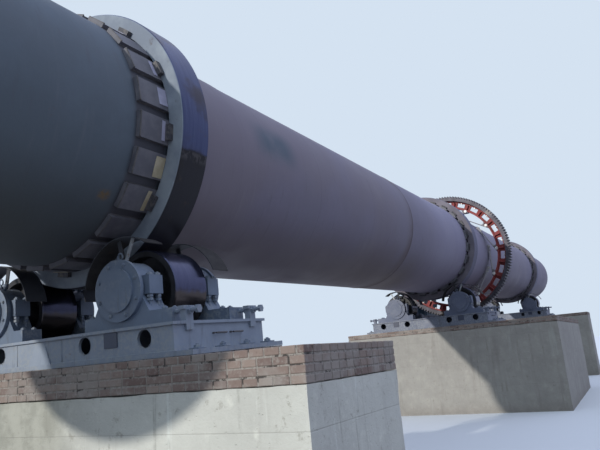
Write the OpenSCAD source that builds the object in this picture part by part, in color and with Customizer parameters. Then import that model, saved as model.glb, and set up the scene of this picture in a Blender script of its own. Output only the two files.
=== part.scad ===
// Rotary kiln on three roller stations, with a girth gear and drive.
// The shell's axis rises uphill along +X. Angles and radii are measured about that axis.
// The origin is on the ground, under the middle of the first riding ring. +Z is up.

/* [Kiln shell] */
// Outer radius of the shell
shell_r = 1250; // [1100:10:1400]
// Thickness of the shell plate
plate_t = 20; // [12:1:32]
// Extra thickness of the plate under the rings and the gear, outside
thick_extra = 8; // [4:1:14]
// Half length of the thicker plate around a ring
thick_half = 1100; // [1000:10:1300]
// Slope of the axis, in millimetres of rise for each metre of length
slope_rise = 35; // [20:1:50]
// Height of the axis above the ground at the first ring
axis_h = 4060; // [3900:10:5000]
// Length of the shell beyond the first ring, at the discharge end
discharge_overhang = 5600; // [3000:50:6600]
// Length of the straight shell beyond the third ring, at the feed end
feed_overhang = 6000; // [4000:50:7000]
// Length of the cone at the feed end
cone_l = 900; // [500:10:1300]
// Outer radius of the cone's small end
cone_r = 1090; // [900:10:1200]
// Width of the stiffening ring at the discharge end
nose_w = 180; // [100:5:300]
// Thickness of the stiffening ring at the discharge end
nose_t = 40; // [20:1:80]
// Place of the round seam between the second and third course
seam_u = 7217; // [4000:1:9000]

/* [Riding rings] */
// Distance from the first ring to the second
span_1 = 12040; // [11000:10:12500]
// Distance from the second ring to the third
span_2 = 12750; // [12000:10:13000]
// Outer radius of a riding ring
tyre_r = 1472; // [1440:1:1520]
// Inner radius of a riding ring
tyre_bore_r = 1300; // [1290:1:1330]
// Width of a riding ring
tyre_w = 390; // [340:5:440]
// Rounding of a riding ring's corners
tyre_corner = 14; // [4:1:20]
// Number of pads between the shell and each ring
pad_count = 24; // [16:2:30]
// Width of a pad along the shell's girth
pad_w = 245; // [150:5:260]
// Length of a pad past the first ring, on its downhill side
pad_out_1 = 380; // [150:10:450]
// Length of a pad past the second and third ring, on the downhill side
pad_out_2 = 90; // [80:5:200]
// Length of a pad past a ring, on the uphill side
pad_out_up = 80; // [70:5:150]
// Height of a stop block above its pad
stop_h = 52; // [30:1:70]
// Length of a stop block along the axis
stop_l = 46; // [30:1:60]
// Width of a stop block along the girth
stop_w = 150; // [80:5:200]
// Gap between a stop block and the ring's side
stop_gap = 4; // [2:0.5:8]

/* [Support rollers] */
// Radius of a roller
roller_r = 385; // [370:5:430]
// Width of a roller
roller_w = 440; // [430:5:480]
// Angle between the vertical and the line from the axis to a roller
roller_angle = 29; // [28:0.5:32]
// Radius of a roller's shaft
shaft_r = 120; // [90:1:140]
// Inner radius of the rim between the recesses
rim_in_r = 325; // [300:5:340]
// Radius of a roller's hub
hub_r = 175; // [160:5:220]
// Depth of the recess in each end of a roller
recess_d = 110; // [40:5:160]
// Reach of the hub past the roller's end
hub_out = 20; // [10:1:40]
// Chamfer on a roller's edge
roller_corner = 8; // [4:1:14]

/* [Bearing housings] */
// Distance from the roller's end to the housing
housing_off = 75; // [60:5:120]
// Length of a housing along the shaft
housing_l = 220; // [180:5:280]
// Radius of a housing's round body
housing_r = 255; // [220:5:270]
// Height of the shaft's centre above the bed
centre_h = 335; // [325:5:380]
// Thickness of the housing's foot
foot_h = 125; // [80:5:140]
// Reach of the foot from the shaft's centre, towards the kiln's middle
foot_in = 460; // [430:5:500]
// Reach of the foot from the shaft's centre, outwards
foot_out = 575; // [500:5:590]
// Half width of the housing where it meets its foot
shoulder_half = 330; // [300:5:360]
// Reach of the side lugs past the round body
lug_out = 65; // [40:5:90]
// Height of the side lugs above the shaft's centre
lug_up = 105; // [80:5:140]
// Depth of the side lugs below the shaft's centre
lug_down = 60; // [40:5:80]
// Radius of the end cover
cover_r = 275; // [272:1:290]
// Thickness of the end cover
cover_t = 36; // [20:1:50]
// Radius of the raised disc on the end cover
cover_disc_r = 192; // [150:1:220]
// Thickness of the raised disc on the end cover
cover_disc_t = 20; // [8:1:30]
// Depth of the shaft's seat in a housing
seat_depth = 190; // [150:5:200]
// Running clearance around a shaft
run_gap = 0.05; // [0.02:0.01:0.08]

/* [Roller guards] */
// Radius of a guard, inside
guard_r = 480; // [465:1:485]
// Thickness of a guard's sheet
guard_t = 8; // [4:1:10]
// Width of a guard along the axis
guard_w = 240; // [150:5:260]
// Angle of the guard's lower end, from the horizontal
guard_low = 8; // [0:1:20]
// Angle of the downhill guard's upper end, from the horizontal
guard_high = 125; // [100:1:130]
// Angle of the uphill guard's upper end, from the horizontal
guard_high_up = 160; // [120:1:165]
// Distance of a guard from the roller's end
guard_off = 25; // [15:1:40]
// Width of the strap that holds a guard
strap_w = 50; // [30:1:80]
// Thickness of the strap
strap_t = 10; // [6:1:16]
// Angle of the strap that holds a guard
strap_angle = 78; // [70:1:90]

/* [Beds] */
// Half width of a bed across the kiln
bed_half = 1620; // [1600:10:1700]
// Length of a bed along the kiln
bed_l = 1340; // [1300:10:1500]
// Height of a bed
bed_h = 275; // [265:5:340]
// Thickness of a bed's top plate
flange_t = 25; // [16:1:32]
// Half width of a bed's bottom plate
sole_half = 1800; // [1700:10:1900]
// Thickness of a bed's bottom plate
sole_t = 40; // [30:1:50]
// Thickness of a bed's upright plates
web_t = 25; // [16:1:32]
// Distance of the upright plates from the edge of the bed
web_in = 22; // [16:1:40]
// Radius of the round holes in the upright plates
hole_r = 75; // [50:1:90]
// Distance of a hole from the middle between it and its twin
hole_off = 350; // [330:5:370]
// Distance of that middle from the roller's, outwards
hole_shift = 35; // [0:5:50]
// Depth of the holes' centres under the top of the bed
hole_drop = 112; // [110:1:130]
// Clearance of the opening in the top plate around a roller
pocket_gap = 35; // [20:1:45]
// Width of the middle rib at its foot
rib_w = 300; // [200:5:400]
// Reach of the middle rib at its foot
rib_out = 16; // [8:1:16]
// Distance of an adjusting bracket from the bed's middle, along the kiln
adjuster_off = 465; // [440:5:480]
// Thickness of an adjusting bracket
bracket_t = 60; // [40:1:70]
// Width of an adjusting bracket's head
bracket_w = 140; // [100:5:160]
// Width of an adjusting bracket's stem
stem_w = 90; // [60:5:95]
// Height of an adjusting bracket above the bed
bracket_up = 125; // [115:5:160]
// Reach of an adjusting bracket under the top of the bed
bracket_down = 75; // [40:5:90]
// Radius of an adjusting screw
screw_r = 20; // [14:1:26]
// Height of an adjusting screw above the bed
screw_up = 88; // [70:1:95]
// Reach of an adjusting screw past its bracket
screw_out = 95; // [60:5:140]

/* [Piers] */
// Reach of the first pier from the kiln's middle, on the near side
pier_near_1 = 2900; // [2700:10:3300]
// Reach of the other piers from the kiln's middle, on the near side
pier_near_2 = 3250; // [2700:10:3500]
// Reach of a pier from the kiln's middle, on the drive's side
pier_far = 2300; // [2250:10:2600]
// Reach of a pier past its ring, downhill
pier_down = 900; // [850:10:1300]
// Reach of the first and third pier past their rings, uphill
pier_up = 750; // [700:10:1300]
// Height of the brick courses on the first pier
brick_h_1 = 250; // [120:10:400]
// Height of the brick courses on the other piers
brick_h_2 = 125; // [60:5:200]
// Least thickness of the mortar wedge between the level courses and a bed
wedge_min = 10; // [5:1:40]
// Reach of the second pier past its ring, uphill, under the drive
drive_reach = 5700; // [5660:10:6200]

/* [Girth gear] */
// Module of the teeth
gear_module = 28; // [24:1:30]
// Number of teeth on the girth gear
gear_teeth = 138; // [132:2:144]
// Number of teeth on the pinion
pinion_teeth = 19; // [17:1:23]
// Width of the girth gear
gear_w = 300; // [240:10:340]
// Distance from the second ring to the girth gear
gear_off = 2700; // [2500:10:2900]
// Thickness of the rim under the teeth
rim_t = 90; // [60:5:110]
// Play between the teeth, on the pitch line
backlash = 5; // [3:0.5:8]
// Extra distance between the gear's and the pinion's centre
centre_play = 2; // [1:0.5:4]
// Angle of the pinion from straight down, on the far side
pinion_angle = 50; // [46:1:54]
// Length of the thicker shell past the girth gear, uphill
gear_plate_l = 1360; // [1200:10:1500]
// Number of windows in the gear's web
window_count = 24; // [18:2:26]
// Width of a window along the girth
window_w = 240; // [180:5:260]
// Width of the web between a window and the flange inside
window_low = 35; // [25:1:50]
// Width of the web between a window and the rim
window_high = 45; // [30:1:60]
// Thickness of a rib on the gear's web
web_rib_t = 30; // [16:1:40]
// Thickness of the gear's web
web_plate_t = 60; // [30:5:90]
// Width of the flange inside the gear's web
web_flange_w = 220; // [160:5:260]
// Thickness of the flange inside the gear's web
web_flange_t = 40; // [20:1:60]
// Inner radius of the gear's web
web_in_r = 1560; // [1540:5:1600]
// Number of spring plates between the shell and the gear
spring_count = 12; // [8:1:14]
// Thickness of a spring plate
spring_t = 20; // [12:1:26]
// Width of a spring plate along the axis
spring_w = 200; // [140:5:240]
// Thickness of a spring plate's seat over the shell
spring_seat_t = 30; // [20:1:40]
// Half length of a spring plate's seat along the girth
spring_seat_half = 130; // [100:5:160]
// Distance of a spring plate's stay from the plate's far end
stay_in = 190; // [150:5:240]
// Thickness of a spring plate's stay
stay_t = 40; // [20:1:50]

/* [Drive] */
// Radius of the pinion's shaft
pinion_shaft_r = 85; // [70:1:100]
// Height of the pinion's centre above the drive's base
pinion_h = 400; // [380:5:440]
// Radius of the pinion's bearing housings
pinion_housing_r = 200; // [170:5:230]
// Length of a pinion bearing along its shaft
pinion_bearing_l = 180; // [140:5:220]
// Distance from the pinion to its bearings
pinion_bearing_off = 60; // [40:5:90]
// Half width of a pinion bearing's foot
pinion_foot_half = 380; // [340:5:440]
// Thickness of a pinion bearing's foot
pinion_foot_h = 80; // [60:5:100]
// Radius of the end cover on a pinion bearing
pinion_cover_r = 215; // [202:1:225]
// Radius of the raised disc on that cover
pinion_disc_r = 150; // [120:1:180]
// Length of the coupling between the pinion's shaft and the reducer
coupling_l = 300; // [240:10:360]
// Gap on each side of that coupling
coupling_gap = 50; // [30:5:80]
// Thickness of that coupling's hubs around the shaft
coupling_hub_t = 55; // [40:1:70]
// Thickness of its middle disc around the shaft
coupling_disc_t = 110; // [90:1:130]
// Width of its middle disc
coupling_disc_w = 90; // [60:5:120]
// Half width of the drive's base
base_half = 520; // [500:5:560]
// Thickness of the plates of the drive's base
base_t = 30; // [20:1:40]
// Reach of the drive's base past what stands on it
base_out = 110; // [60:10:160]
// Length of the reducer along the kiln
reducer_l = 1100; // [900:10:1200]
// Height of the reducer
reducer_h = 900; // [800:10:1000]
// Half width of the reducer
reducer_half = 430; // [380:5:460]
// Thickness of the reducer's foot, and of the flange at its middle
reducer_foot_t = 60; // [40:5:80]
// Distance of the reducer's walls from the edge of its foot
reducer_wall_in = 60; // [50:5:80]
// Height of the sloping shoulders of the reducer's cover
reducer_cover_h = 160; // [100:10:200]
// Width of those shoulders
reducer_cover_in = 120; // [60:10:180]
// Number of ribs on the reducer's lower case
reducer_ribs = 4; // [3:1:5]
// Thickness of a rib on the reducer
reducer_rib_t = 30; // [20:1:40]
// Radius of the motor's body
motor_r = 240; // [200:5:260]
// Length of the motor's body
motor_l = 640; // [560:10:700]
// Length of a foot under the motor
motor_foot_l = 90; // [60:5:120]
// Number of fins on the motor
fin_count = 36; // [24:4:40]
// Height of a fin
fin_h = 22; // [12:1:30]
// Distance from the reducer to the motor
motor_gap = 260; // [220:10:320]
// Radius of the guard between the reducer and the motor
coupling_guard_r = 190; // [170:5:220]
// Thickness of that guard's sheet
coupling_guard_t = 10; // [6:1:12]

/* [Hidden] */
$fn = 96;
seat_gap = 0.3;
cut = 2;
slope = atan(slope_rise / 1000);
station_u = [0, span_1, span_1 + span_2];
discharge_u = -discharge_overhang;
feed_u = station_u[2] + feed_overhang;
gear_u = station_u[1] + gear_off;
bore_r = shell_r - plate_t;
thick_r = shell_r + thick_extra;
pad_top = tyre_bore_r - seat_gap;
pad_angle = pad_w / tyre_bore_r * 180 / PI;
stop_angle = stop_w / tyre_bore_r * 180 / PI;
roller_dist = tyre_r + roller_r + seat_gap;
roller_y = roller_dist * sin(roller_angle);
roller_drop = roller_dist * cos(roller_angle);
bed_top = -roller_drop - centre_h;
bed_low = bed_top - bed_h;
housing_u = roller_w / 2 + housing_off;
seam_2_u = gear_u + gear_plate_l;
seam_3_u = station_u[2] + thick_half;
pitch_r = gear_module * gear_teeth / 2;
tip_r = pitch_r + gear_module;
root_r = pitch_r - 1.25 * gear_module;
rim_low_r = root_r - rim_t;
pinion_pitch_r = gear_module * pinion_teeth / 2;
pinion_dist = pitch_r + pinion_pitch_r + centre_play;
pinion_y = pinion_dist * sin(pinion_angle);
pinion_z = -pinion_dist * cos(pinion_angle);
pinion_w = gear_w + 30;
pinion_bearing_u = pinion_w / 2 + pinion_bearing_off;
end_wall = 30;
shaft_reach = pinion_bearing_l - end_wall - 10;
shaft_seat = 80;
flange_out = 20;
rib_end = 120;
base_top = pinion_z - pinion_h;
coupling_u = pinion_bearing_u + pinion_bearing_l + coupling_gap;
reducer_u = coupling_u + coupling_l + coupling_gap;
base_start = -pinion_bearing_u - pinion_bearing_l - base_out;
base_end = reducer_u + reducer_l + motor_gap + motor_l + base_out;

// Frames: a drawing's x is across the kiln, its y is up, and it is extruded uphill.
module across(u) {
    translate([0, 0, axis_h])
        rotate([0, -slope, 0])
            translate([u, 0, 0])
                rotate([90, 0, 90])
                    children();
}

module on_roller(side) {
    translate([side * roller_y, -roller_drop, 0]) children();
}

module at_pinion() {
    translate([pinion_y, pinion_z, 0]) children();
}

// A ring about the kiln's axis, from z_low to z_high.
module band(r_in, r_out, z_low, z_high) {
    rotate_extrude()
        translate([r_in, z_low])
            square([r_out - r_in, z_high - z_low]);
}

// A part of a ring, centred on the angle turn.
module arc_band(r_in, r_out, z_low, z_high, turn, spread) {
    rotate([0, 0, turn - spread / 2])
        rotate_extrude(angle = spread)
            translate([r_in, z_low])
                square([r_out - r_in, z_high - z_low]);
}

// Box from a low corner to a high corner.
module block(low, high) {
    translate(low) cube(high - low);
}

// Height of a sloping plane above the ground, where drop is its distance under the axis.
function plane_z(x, drop) = axis_h + x * tan(slope) + drop / cos(slope);
function world_x(u, drop) = u * cos(slope) - drop * sin(slope);

// Heights of the level tops of a station's brick courses and of its pier.
function brick_top(n) = plane_z(world_x(station_u[n] - bed_l / 2, bed_low), bed_low) - wedge_min;
function pier_top(n) = brick_top(n) - (n == 0 ? brick_h_1 : brick_h_2);

// Level block of masonry under a station.
module masonry(n, z_low, z_high) {
    x_low = world_x(station_u[n] - pier_down, bed_low);
    x_high = world_x(station_u[n] + (n == 1 ? drive_reach : pier_up), bed_low);
    block([x_low, -(n == 0 ? pier_near_1 : pier_near_2), z_low], [x_high, pier_far, z_high]);
}

// Wedge of mortar that brings the level courses up to the kiln's slope.
module seat_wedge(n, u_low, u_high, y_low, y_high) {
    x_low = world_x(station_u[n] + u_low, bed_low);
    x_high = world_x(station_u[n] + u_high, bed_low);
    seat = bed_low - seat_gap;
    translate([0, y_high, 0])
        rotate([90, 0, 0])
            linear_extrude(y_high - y_low)
                polygon([
                    [x_low, brick_top(n) - cut], [x_high, brick_top(n) - cut],
                    [x_high, plane_z(x_high, seat)], [x_low, plane_z(x_low, seat)]
                ]);
}

module pier(n) {
    color([0.62, 0.61, 0.58]) masonry(n, 0, pier_top(n));
}

module brick_course(n) {
    color([0.55, 0.40, 0.33]) {
        masonry(n, pier_top(n), brick_top(n));
        seat_wedge(n, -bed_l / 2, bed_l / 2, -sole_half, sole_half);
        if (n == 1)
            seat_wedge(n, gear_off + base_start, gear_off + base_end,
                pinion_y - base_half, pinion_y + base_half);
    }
}

// Upright plate of a bed, with a pair of round holes at each roller.
module bed_web() {
    difference() {
        block([-bed_half + web_in, bed_low, 0], [bed_half - web_in, bed_top, web_t]);
        for (side = [-1, 1])
            for (off = [-hole_off, hole_off])
                translate([side * (roller_y + hole_shift) + off, bed_top - hole_drop, -cut])
                    cylinder(h = web_t + 2 * cut, r = hole_r);
    }
}

// Bed: two welded box beams under one top plate, which is open under each roller.
module bed_box() {
    pocket_u = roller_w / 2 + pocket_gap;
    pocket_x = roller_r + pocket_gap;
    block([-sole_half, bed_low, 0], [sole_half, bed_low + sole_t, bed_l]);
    difference() {
        block([-bed_half, bed_top - flange_t, 0], [bed_half, bed_top, bed_l]);
        for (side = [-1, 1])
            block([side * roller_y - pocket_x, bed_top - flange_t - cut, bed_l / 2 - pocket_u],
                [side * roller_y + pocket_x, bed_top + cut, bed_l / 2 + pocket_u]);
    }
    for (z = [web_in, bed_l - web_in - web_t])
        translate([0, 0, z]) bed_web();
    for (z = [bed_l / 2 - pocket_u - web_t, bed_l / 2 + pocket_u])
        block([-bed_half + web_in, bed_low, z], [bed_half - web_in, bed_top - cut, z + web_t]);
    for (x = [-bed_half + web_in, bed_half - web_in - web_t])
        block([x, bed_low, web_in], [x + web_t, bed_top - cut, bed_l - web_in]);
}

// Rib: a sloping buttress on the middle of the upright plate.
module bed_rib() {
    rib_low = bed_low + sole_t - cut;
    rib_high = bed_top - flange_t;
    intersection() {
        translate([-rib_w / 2, 0, 0])
            rotate([0, 90, 0])
                linear_extrude(rib_w)
                    polygon([[-cut, rib_low], [-cut, rib_high], [0, rib_high], [rib_out, rib_low]]);
        linear_extrude(2 * rib_out, center = true)
            polygon([
                [-rib_w / 2, rib_low], [rib_w / 2, rib_low],
                [rib_w / 6, rib_high], [-rib_w / 6, rib_high]
            ]);
    }
}

// Adjusting bracket: a headed block on the bed's edge, with a screw against the housing's foot.
module adjuster(side, z) {
    inner = roller_y + foot_out + seat_gap;
    back = bed_half - bracket_t;
    screw_y = bed_top + screw_up;
    head_low = bed_top + bracket_up - bracket_t / 2;
    nut_h = screw_r * 1.4;
    mirror([side < 0 ? 1 : 0, 0, 0]) {
        block([back, bed_top - bracket_down, z - stem_w / 2],
            [bed_half, bed_top + bracket_up, z + stem_w / 2]);
        block([back, head_low, z - bracket_w / 2],
            [bed_half, bed_top + bracket_up, z + bracket_w / 2]);
        translate([inner, screw_y, z])
            rotate([0, 90, 0])
                cylinder(h = bed_half - inner + screw_out, r = screw_r);
        for (x = [back + cut - nut_h, bed_half - cut, bed_half + screw_out - nut_h / 2])
            translate([x, screw_y, z])
                rotate([0, 90, 0])
                    cylinder(h = nut_h, r = screw_r * 1.8, $fn = 6);
    }
}

module bed(n) {
    color([0.45, 0.50, 0.54])
        across(station_u[n] - bed_l / 2) {
            bed_box();
            translate([0, 0, web_in]) bed_rib();
            translate([0, 0, bed_l - web_in]) mirror([0, 0, 1]) bed_rib();
            for (side = [-1, 1])
                for (z = [-1, 1])
                    adjuster(side, bed_l / 2 + z * adjuster_off);
        }
}

// Pillow block: split housing with side lugs, on a foot that reaches from -reach_in to reach_out.
module housing(r, length, height, foot, reach_in, reach_out, shoulder, depth, bore) {
    lug_x = r + lug_out;
    difference() {
        union() {
            cylinder(h = length, r = r);
            block([-reach_in, -height, 0], [reach_out, -height + foot, length]);
            linear_extrude(length)
                polygon([
                    [-shoulder, -height + foot - cut], [shoulder, -height + foot - cut],
                    [r * 0.97, -r * 0.24], [-r * 0.97, -r * 0.24]
                ]);
            block([-lug_x, -lug_down, length * 0.12], [lug_x, lug_up, length * 0.88]);
        }
        translate([0, 0, -cut]) cylinder(h = depth + cut, r = bore);
    }
}

// End cover: a flange with a raised disc.
module end_cover(flange_r, disc_r) {
    cylinder(h = cover_t, r = flange_r);
    cylinder(h = cover_t + cover_disc_t, r = disc_r);
}

module roller_housing() {
    housing(housing_r, housing_l, centre_h, foot_h, foot_in, foot_out, shoulder_half, seat_depth,
        shaft_r + run_gap);
    translate([0, 0, housing_l]) end_cover(cover_r, cover_disc_r);
}

module bearings(n) {
    color([0.42, 0.48, 0.53])
        across(station_u[n])
            for (side = [-1, 1])
                on_roller(side)
                    mirror([side < 0 ? 1 : 0, 0, 0]) {
                        translate([0, 0, housing_u]) roller_housing();
                        mirror([0, 0, 1]) translate([0, 0, housing_u]) roller_housing();
                    }
}

// Roller: rim, recessed ends, hub and shaft in one piece.
module roller(n, side) {
    half = roller_w / 2;
    shaft_half = housing_u + seat_depth - 10;
    color([0.35, 0.37, 0.42])
        across(station_u[n])
            on_roller(side)
                rotate_extrude()
                    polygon([
                        [0, -shaft_half], [shaft_r, -shaft_half], [shaft_r, -half - hub_out],
                        [hub_r, -half - hub_out], [hub_r, -half + recess_d],
                        [rim_in_r, -half + recess_d], [rim_in_r, -half],
                        [roller_r - roller_corner, -half], [roller_r, -half + roller_corner],
                        [roller_r, half - roller_corner], [roller_r - roller_corner, half],
                        [rim_in_r, half], [rim_in_r, half - recess_d],
                        [hub_r, half - recess_d], [hub_r, half + hub_out],
                        [shaft_r, half + hub_out], [shaft_r, shaft_half], [0, shaft_half]
                    ]);
}

// Guard: a curved sheet over a housing and the roller's end, up to the angle high, on a strap.
module guard(high) {
    z_low = roller_w / 2 + guard_off;
    strap_z = housing_u + housing_l / 2 - strap_t / 2;
    spread = high - guard_low;
    arc_band(guard_r, guard_r + guard_t, z_low, z_low + guard_w, guard_low + spread / 2, spread);
    rotate([0, 0, strap_angle])
        block([housing_r + seat_gap, -strap_w / 2, strap_z],
            [guard_r + cut, strap_w / 2, strap_z + strap_t]);
}

module roller_guards(n) {
    color([0.30, 0.33, 0.37])
        across(station_u[n])
            for (side = [-1, 1])
                on_roller(side)
                    mirror([side > 0 ? 1 : 0, 0, 0]) {
                        guard(guard_high_up);
                        mirror([0, 0, 1]) guard(guard_high);
                    }
}

// Shell course: a tube, with thicker plate outside between z_thick_low and z_thick_high.
module shell_course(z_low, z_high, z_thick_low, z_thick_high) {
    color([0.46, 0.46, 0.47])
        across(0)
            rotate_extrude()
                polygon([
                    [bore_r, z_low], [shell_r, z_low], [shell_r, z_thick_low],
                    [thick_r, z_thick_low], [thick_r, z_thick_high],
                    [shell_r, z_thick_high], [shell_r, z_high], [bore_r, z_high]
                ]);
}

module shell_course_1() {
    color([0.46, 0.46, 0.47]) across(0) band(bore_r, shell_r, discharge_u, -thick_half);
}

module shell_course_2() {
    shell_course(-thick_half, seam_u, -thick_half + cut, thick_half);
}

module shell_course_3() {
    shell_course(seam_u, seam_2_u, station_u[1] - thick_half, seam_2_u - cut);
}

module shell_course_4() {
    shell_course(seam_2_u, seam_3_u, station_u[2] - thick_half, seam_3_u - cut);
}

module shell_course_5() {
    color([0.46, 0.46, 0.47]) across(0) band(bore_r, shell_r, seam_3_u, feed_u);
}

module feed_end_cone() {
    color([0.48, 0.48, 0.50])
        across(feed_u)
            rotate_extrude()
                polygon([
                    [shell_r - plate_t, 0], [shell_r, 0], [cone_r, cone_l], [cone_r, cone_l + 60],
                    [cone_r - plate_t, cone_l + 60], [cone_r - plate_t, cone_l]
                ]);
}

module discharge_nose_ring() {
    color([0.40, 0.41, 0.42])
        across(discharge_u)
            band(shell_r + seat_gap, shell_r + nose_t, 0, nose_w);
}

// Riding ring: a forged ring with small chamfers.
module tyre(n) {
    half = tyre_w / 2;
    color([0.50, 0.54, 0.52])
        across(station_u[n])
            rotate_extrude()
                polygon([
                    [tyre_bore_r, -half], [tyre_r - tyre_corner, -half],
                    [tyre_r, -half + tyre_corner], [tyre_r, half - tyre_corner],
                    [tyre_r - tyre_corner, half], [tyre_bore_r, half]
                ]);
}

// Pads under a ring, with stop blocks beside the ring on every other pad.
module tyre_pads(n) {
    half = tyre_w / 2;
    down = n == 0 ? pad_out_1 : pad_out_2;
    stop_in = half + stop_gap;
    color([0.40, 0.41, 0.43])
        across(station_u[n])
            for (i = [0 : pad_count - 1]) {
                turn = (i + 0.5) * 360 / pad_count;
                arc_band(thick_r + seat_gap, pad_top, -half - down, half + pad_out_up, turn, pad_angle);
                if (i % 2 == 0 || n > 0) {
                    arc_band(pad_top - cut, pad_top + stop_h, -stop_in - stop_l, -stop_in,
                        turn, stop_angle);
                    arc_band(pad_top - cut, pad_top + stop_h, stop_in, stop_in + stop_l,
                        turn, stop_angle);
                }
            }
}

// Involute tooth: half angle of a tooth at radius r, for a gear with pitch radius rp.
pressure = 20;
function roll(rp, r) = acos(min(1, rp * cos(pressure) / r));
function inv(a) = tan(a) * 180 / PI - a;
function tooth_half(rp, r) =
    45 * (gear_module - backlash / PI) / rp + inv(pressure) - inv(roll(rp, r));
function tooth_points(rp, tip, root, turn) = [
    for (p = [[root, -1], [rp, -1], [tip, -1], [tip, 1], [rp, 1], [root, 1]])
        let (a = turn + p[1] * tooth_half(rp, p[0]))
            [p[0] * cos(a), p[0] * sin(a)]
];
function ring_points(teeth, rp, tip, root, first) = [
    for (i = [0 : teeth - 1])
        each tooth_points(rp, tip, root, first + i * 360 / teeth)
];

// Gear rim: teeth outside, a flat sided ring inside.
module girth_gear_rim() {
    facets = 72;
    mesh_turn = pinion_angle - 90;
    color([0.35, 0.34, 0.33])
        across(gear_u - gear_w / 2)
            linear_extrude(gear_w)
                difference() {
                    polygon(ring_points(gear_teeth, pitch_r, tip_r, root_r, mesh_turn));
                    polygon([
                        for (i = [0 : facets - 1])
                            [rim_low_r * cos(i * 360 / facets), rim_low_r * sin(i * 360 / facets)]
                    ]);
                }
}

// Gear web: a plate ring with windows, ribs between them and a flange inside.
module girth_gear_web() {
    facets = 72;
    outer = rim_low_r - seat_gap;
    window_in = web_in_r + web_flange_t + window_low;
    window_out = rim_low_r - window_high;
    color([0.62, 0.22, 0.16])
        across(gear_u) {
            linear_extrude(web_plate_t, center = true)
                difference() {
                    polygon([
                        for (i = [0 : facets - 1])
                            [outer * cos(i * 360 / facets), outer * sin(i * 360 / facets)]
                    ]);
                    circle(r = web_in_r + cut);
                    for (i = [0 : window_count - 1])
                        rotate((i + 0.5) * 360 / window_count)
                            translate([window_in, -window_w / 2])
                                square([window_out - window_in, window_w]);
                }
            band(web_in_r, web_in_r + web_flange_t, -web_flange_w / 2, web_flange_w / 2);
            for (i = [0 : window_count - 1])
                rotate([0, 0, i * 360 / window_count])
                    block([web_in_r + web_flange_t - cut, -web_rib_t / 2, -web_flange_w / 2],
                        [window_out, web_rib_t / 2, web_flange_w / 2]);
        }
}

// Spring plates: each leaves a seat on the shell as a tangent and ends under the web's flange.
module gear_spring_plates() {
    seat_r = thick_r + spring_seat_t;
    reach = sqrt(pow(web_in_r - seat_gap, 2) - pow(seat_r + spring_t, 2));
    color([0.50, 0.49, 0.47])
        across(gear_u)
            for (i = [0 : spring_count - 1])
                rotate([0, 0, i * 360 / spring_count])
                    difference() {
                        intersection() {
                            union() {
                                block([seat_r, -spring_seat_half - spring_seat_t, -spring_w / 2],
                                    [seat_r + spring_t, reach, spring_w / 2]);
                                block([seat_r, reach - stay_in, -spring_w / 2],
                                    [web_in_r, reach - stay_in + stay_t, spring_w / 2]);
                                block([thick_r - spring_seat_t, -spring_seat_half, -spring_w / 2],
                                    [seat_r + cut, spring_seat_half, spring_w / 2]);
                            }
                            cylinder(h = 2 * spring_w, r = web_in_r - seat_gap, center = true, $fn = 360);
                        }
                        cylinder(h = 2 * spring_w, r = thick_r + seat_gap, center = true, $fn = 360);
                    }
}

// Pinion and its shaft.
module pinion() {
    first = pinion_angle + 90 + 180 / pinion_teeth;
    tip = pinion_pitch_r + gear_module;
    root = pinion_pitch_r - 1.25 * gear_module;
    color([0.38, 0.37, 0.36])
        across(gear_u)
            at_pinion()
                linear_extrude(pinion_w, center = true)
                    polygon(ring_points(pinion_teeth, pinion_pitch_r, tip, root, first));
}

module pinion_shaft() {
    color([0.45, 0.46, 0.48])
        across(gear_u)
            at_pinion() {
                translate([0, 0, -pinion_bearing_u - shaft_reach])
                    cylinder(h = pinion_bearing_u + shaft_reach - pinion_w / 2,
                        r = pinion_shaft_r);
                translate([0, 0, pinion_w / 2])
                    cylinder(h = reducer_u + shaft_seat - pinion_w / 2, r = pinion_shaft_r);
            }
}

module drive_coupling() {
    hub = pinion_shaft_r + coupling_hub_t;
    disc = pinion_shaft_r + coupling_disc_t;
    inner = pinion_shaft_r + run_gap;
    disc_low = (coupling_l - coupling_disc_w) / 2;
    disc_high = disc_low + coupling_disc_w;
    color([0.40, 0.40, 0.42])
        across(gear_u)
            at_pinion()
                translate([0, 0, coupling_u])
                    rotate_extrude()
                        polygon([
                            [inner, 0], [hub, 0], [hub, disc_low], [disc, disc_low],
                            [disc, disc_high], [hub, disc_high], [hub, coupling_l],
                            [inner, coupling_l]
                        ]);
}

module pinion_bearings() {
    bore = pinion_shaft_r + run_gap;
    color([0.42, 0.48, 0.53])
        across(gear_u)
            at_pinion() {
                translate([0, 0, pinion_bearing_u])
                    housing(pinion_housing_r, pinion_bearing_l, pinion_h, pinion_foot_h,
                        pinion_foot_half, pinion_foot_half, pinion_housing_r + lug_out,
                        pinion_bearing_l + 2 * cut, bore);
                mirror([0, 0, 1])
                    translate([0, 0, pinion_bearing_u]) {
                        housing(pinion_housing_r, pinion_bearing_l, pinion_h, pinion_foot_h,
                            pinion_foot_half, pinion_foot_half, pinion_housing_r + lug_out,
                            pinion_bearing_l - end_wall, bore);
                        translate([0, 0, pinion_bearing_l]) end_cover(pinion_cover_r, pinion_disc_r);
                    }
            }
}

// Drive base: a welded box with cross plates, on the second pier.
module drive_base() {
    plates = 6;
    step = (base_end - base_start - 2 * base_t - base_t) / (plates - 1);
    color([0.42, 0.47, 0.51])
        across(gear_u)
            translate([pinion_y, 0, 0]) {
                block([-base_half, bed_low, base_start], [base_half, bed_low + base_t, base_end]);
                block([-base_half, base_top - base_t, base_start], [base_half, base_top, base_end]);
                for (x = [-base_half + 2 * base_t, base_half - 3 * base_t])
                    block([x, bed_low, base_start + base_t], [x + base_t, base_top, base_end - base_t]);
                for (i = [0 : plates - 1])
                    let (z = base_start + base_t + i * step)
                        block([-base_half + base_t, bed_low, z],
                            [base_half - base_t, base_top, z + base_t]);
            }
}

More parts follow.
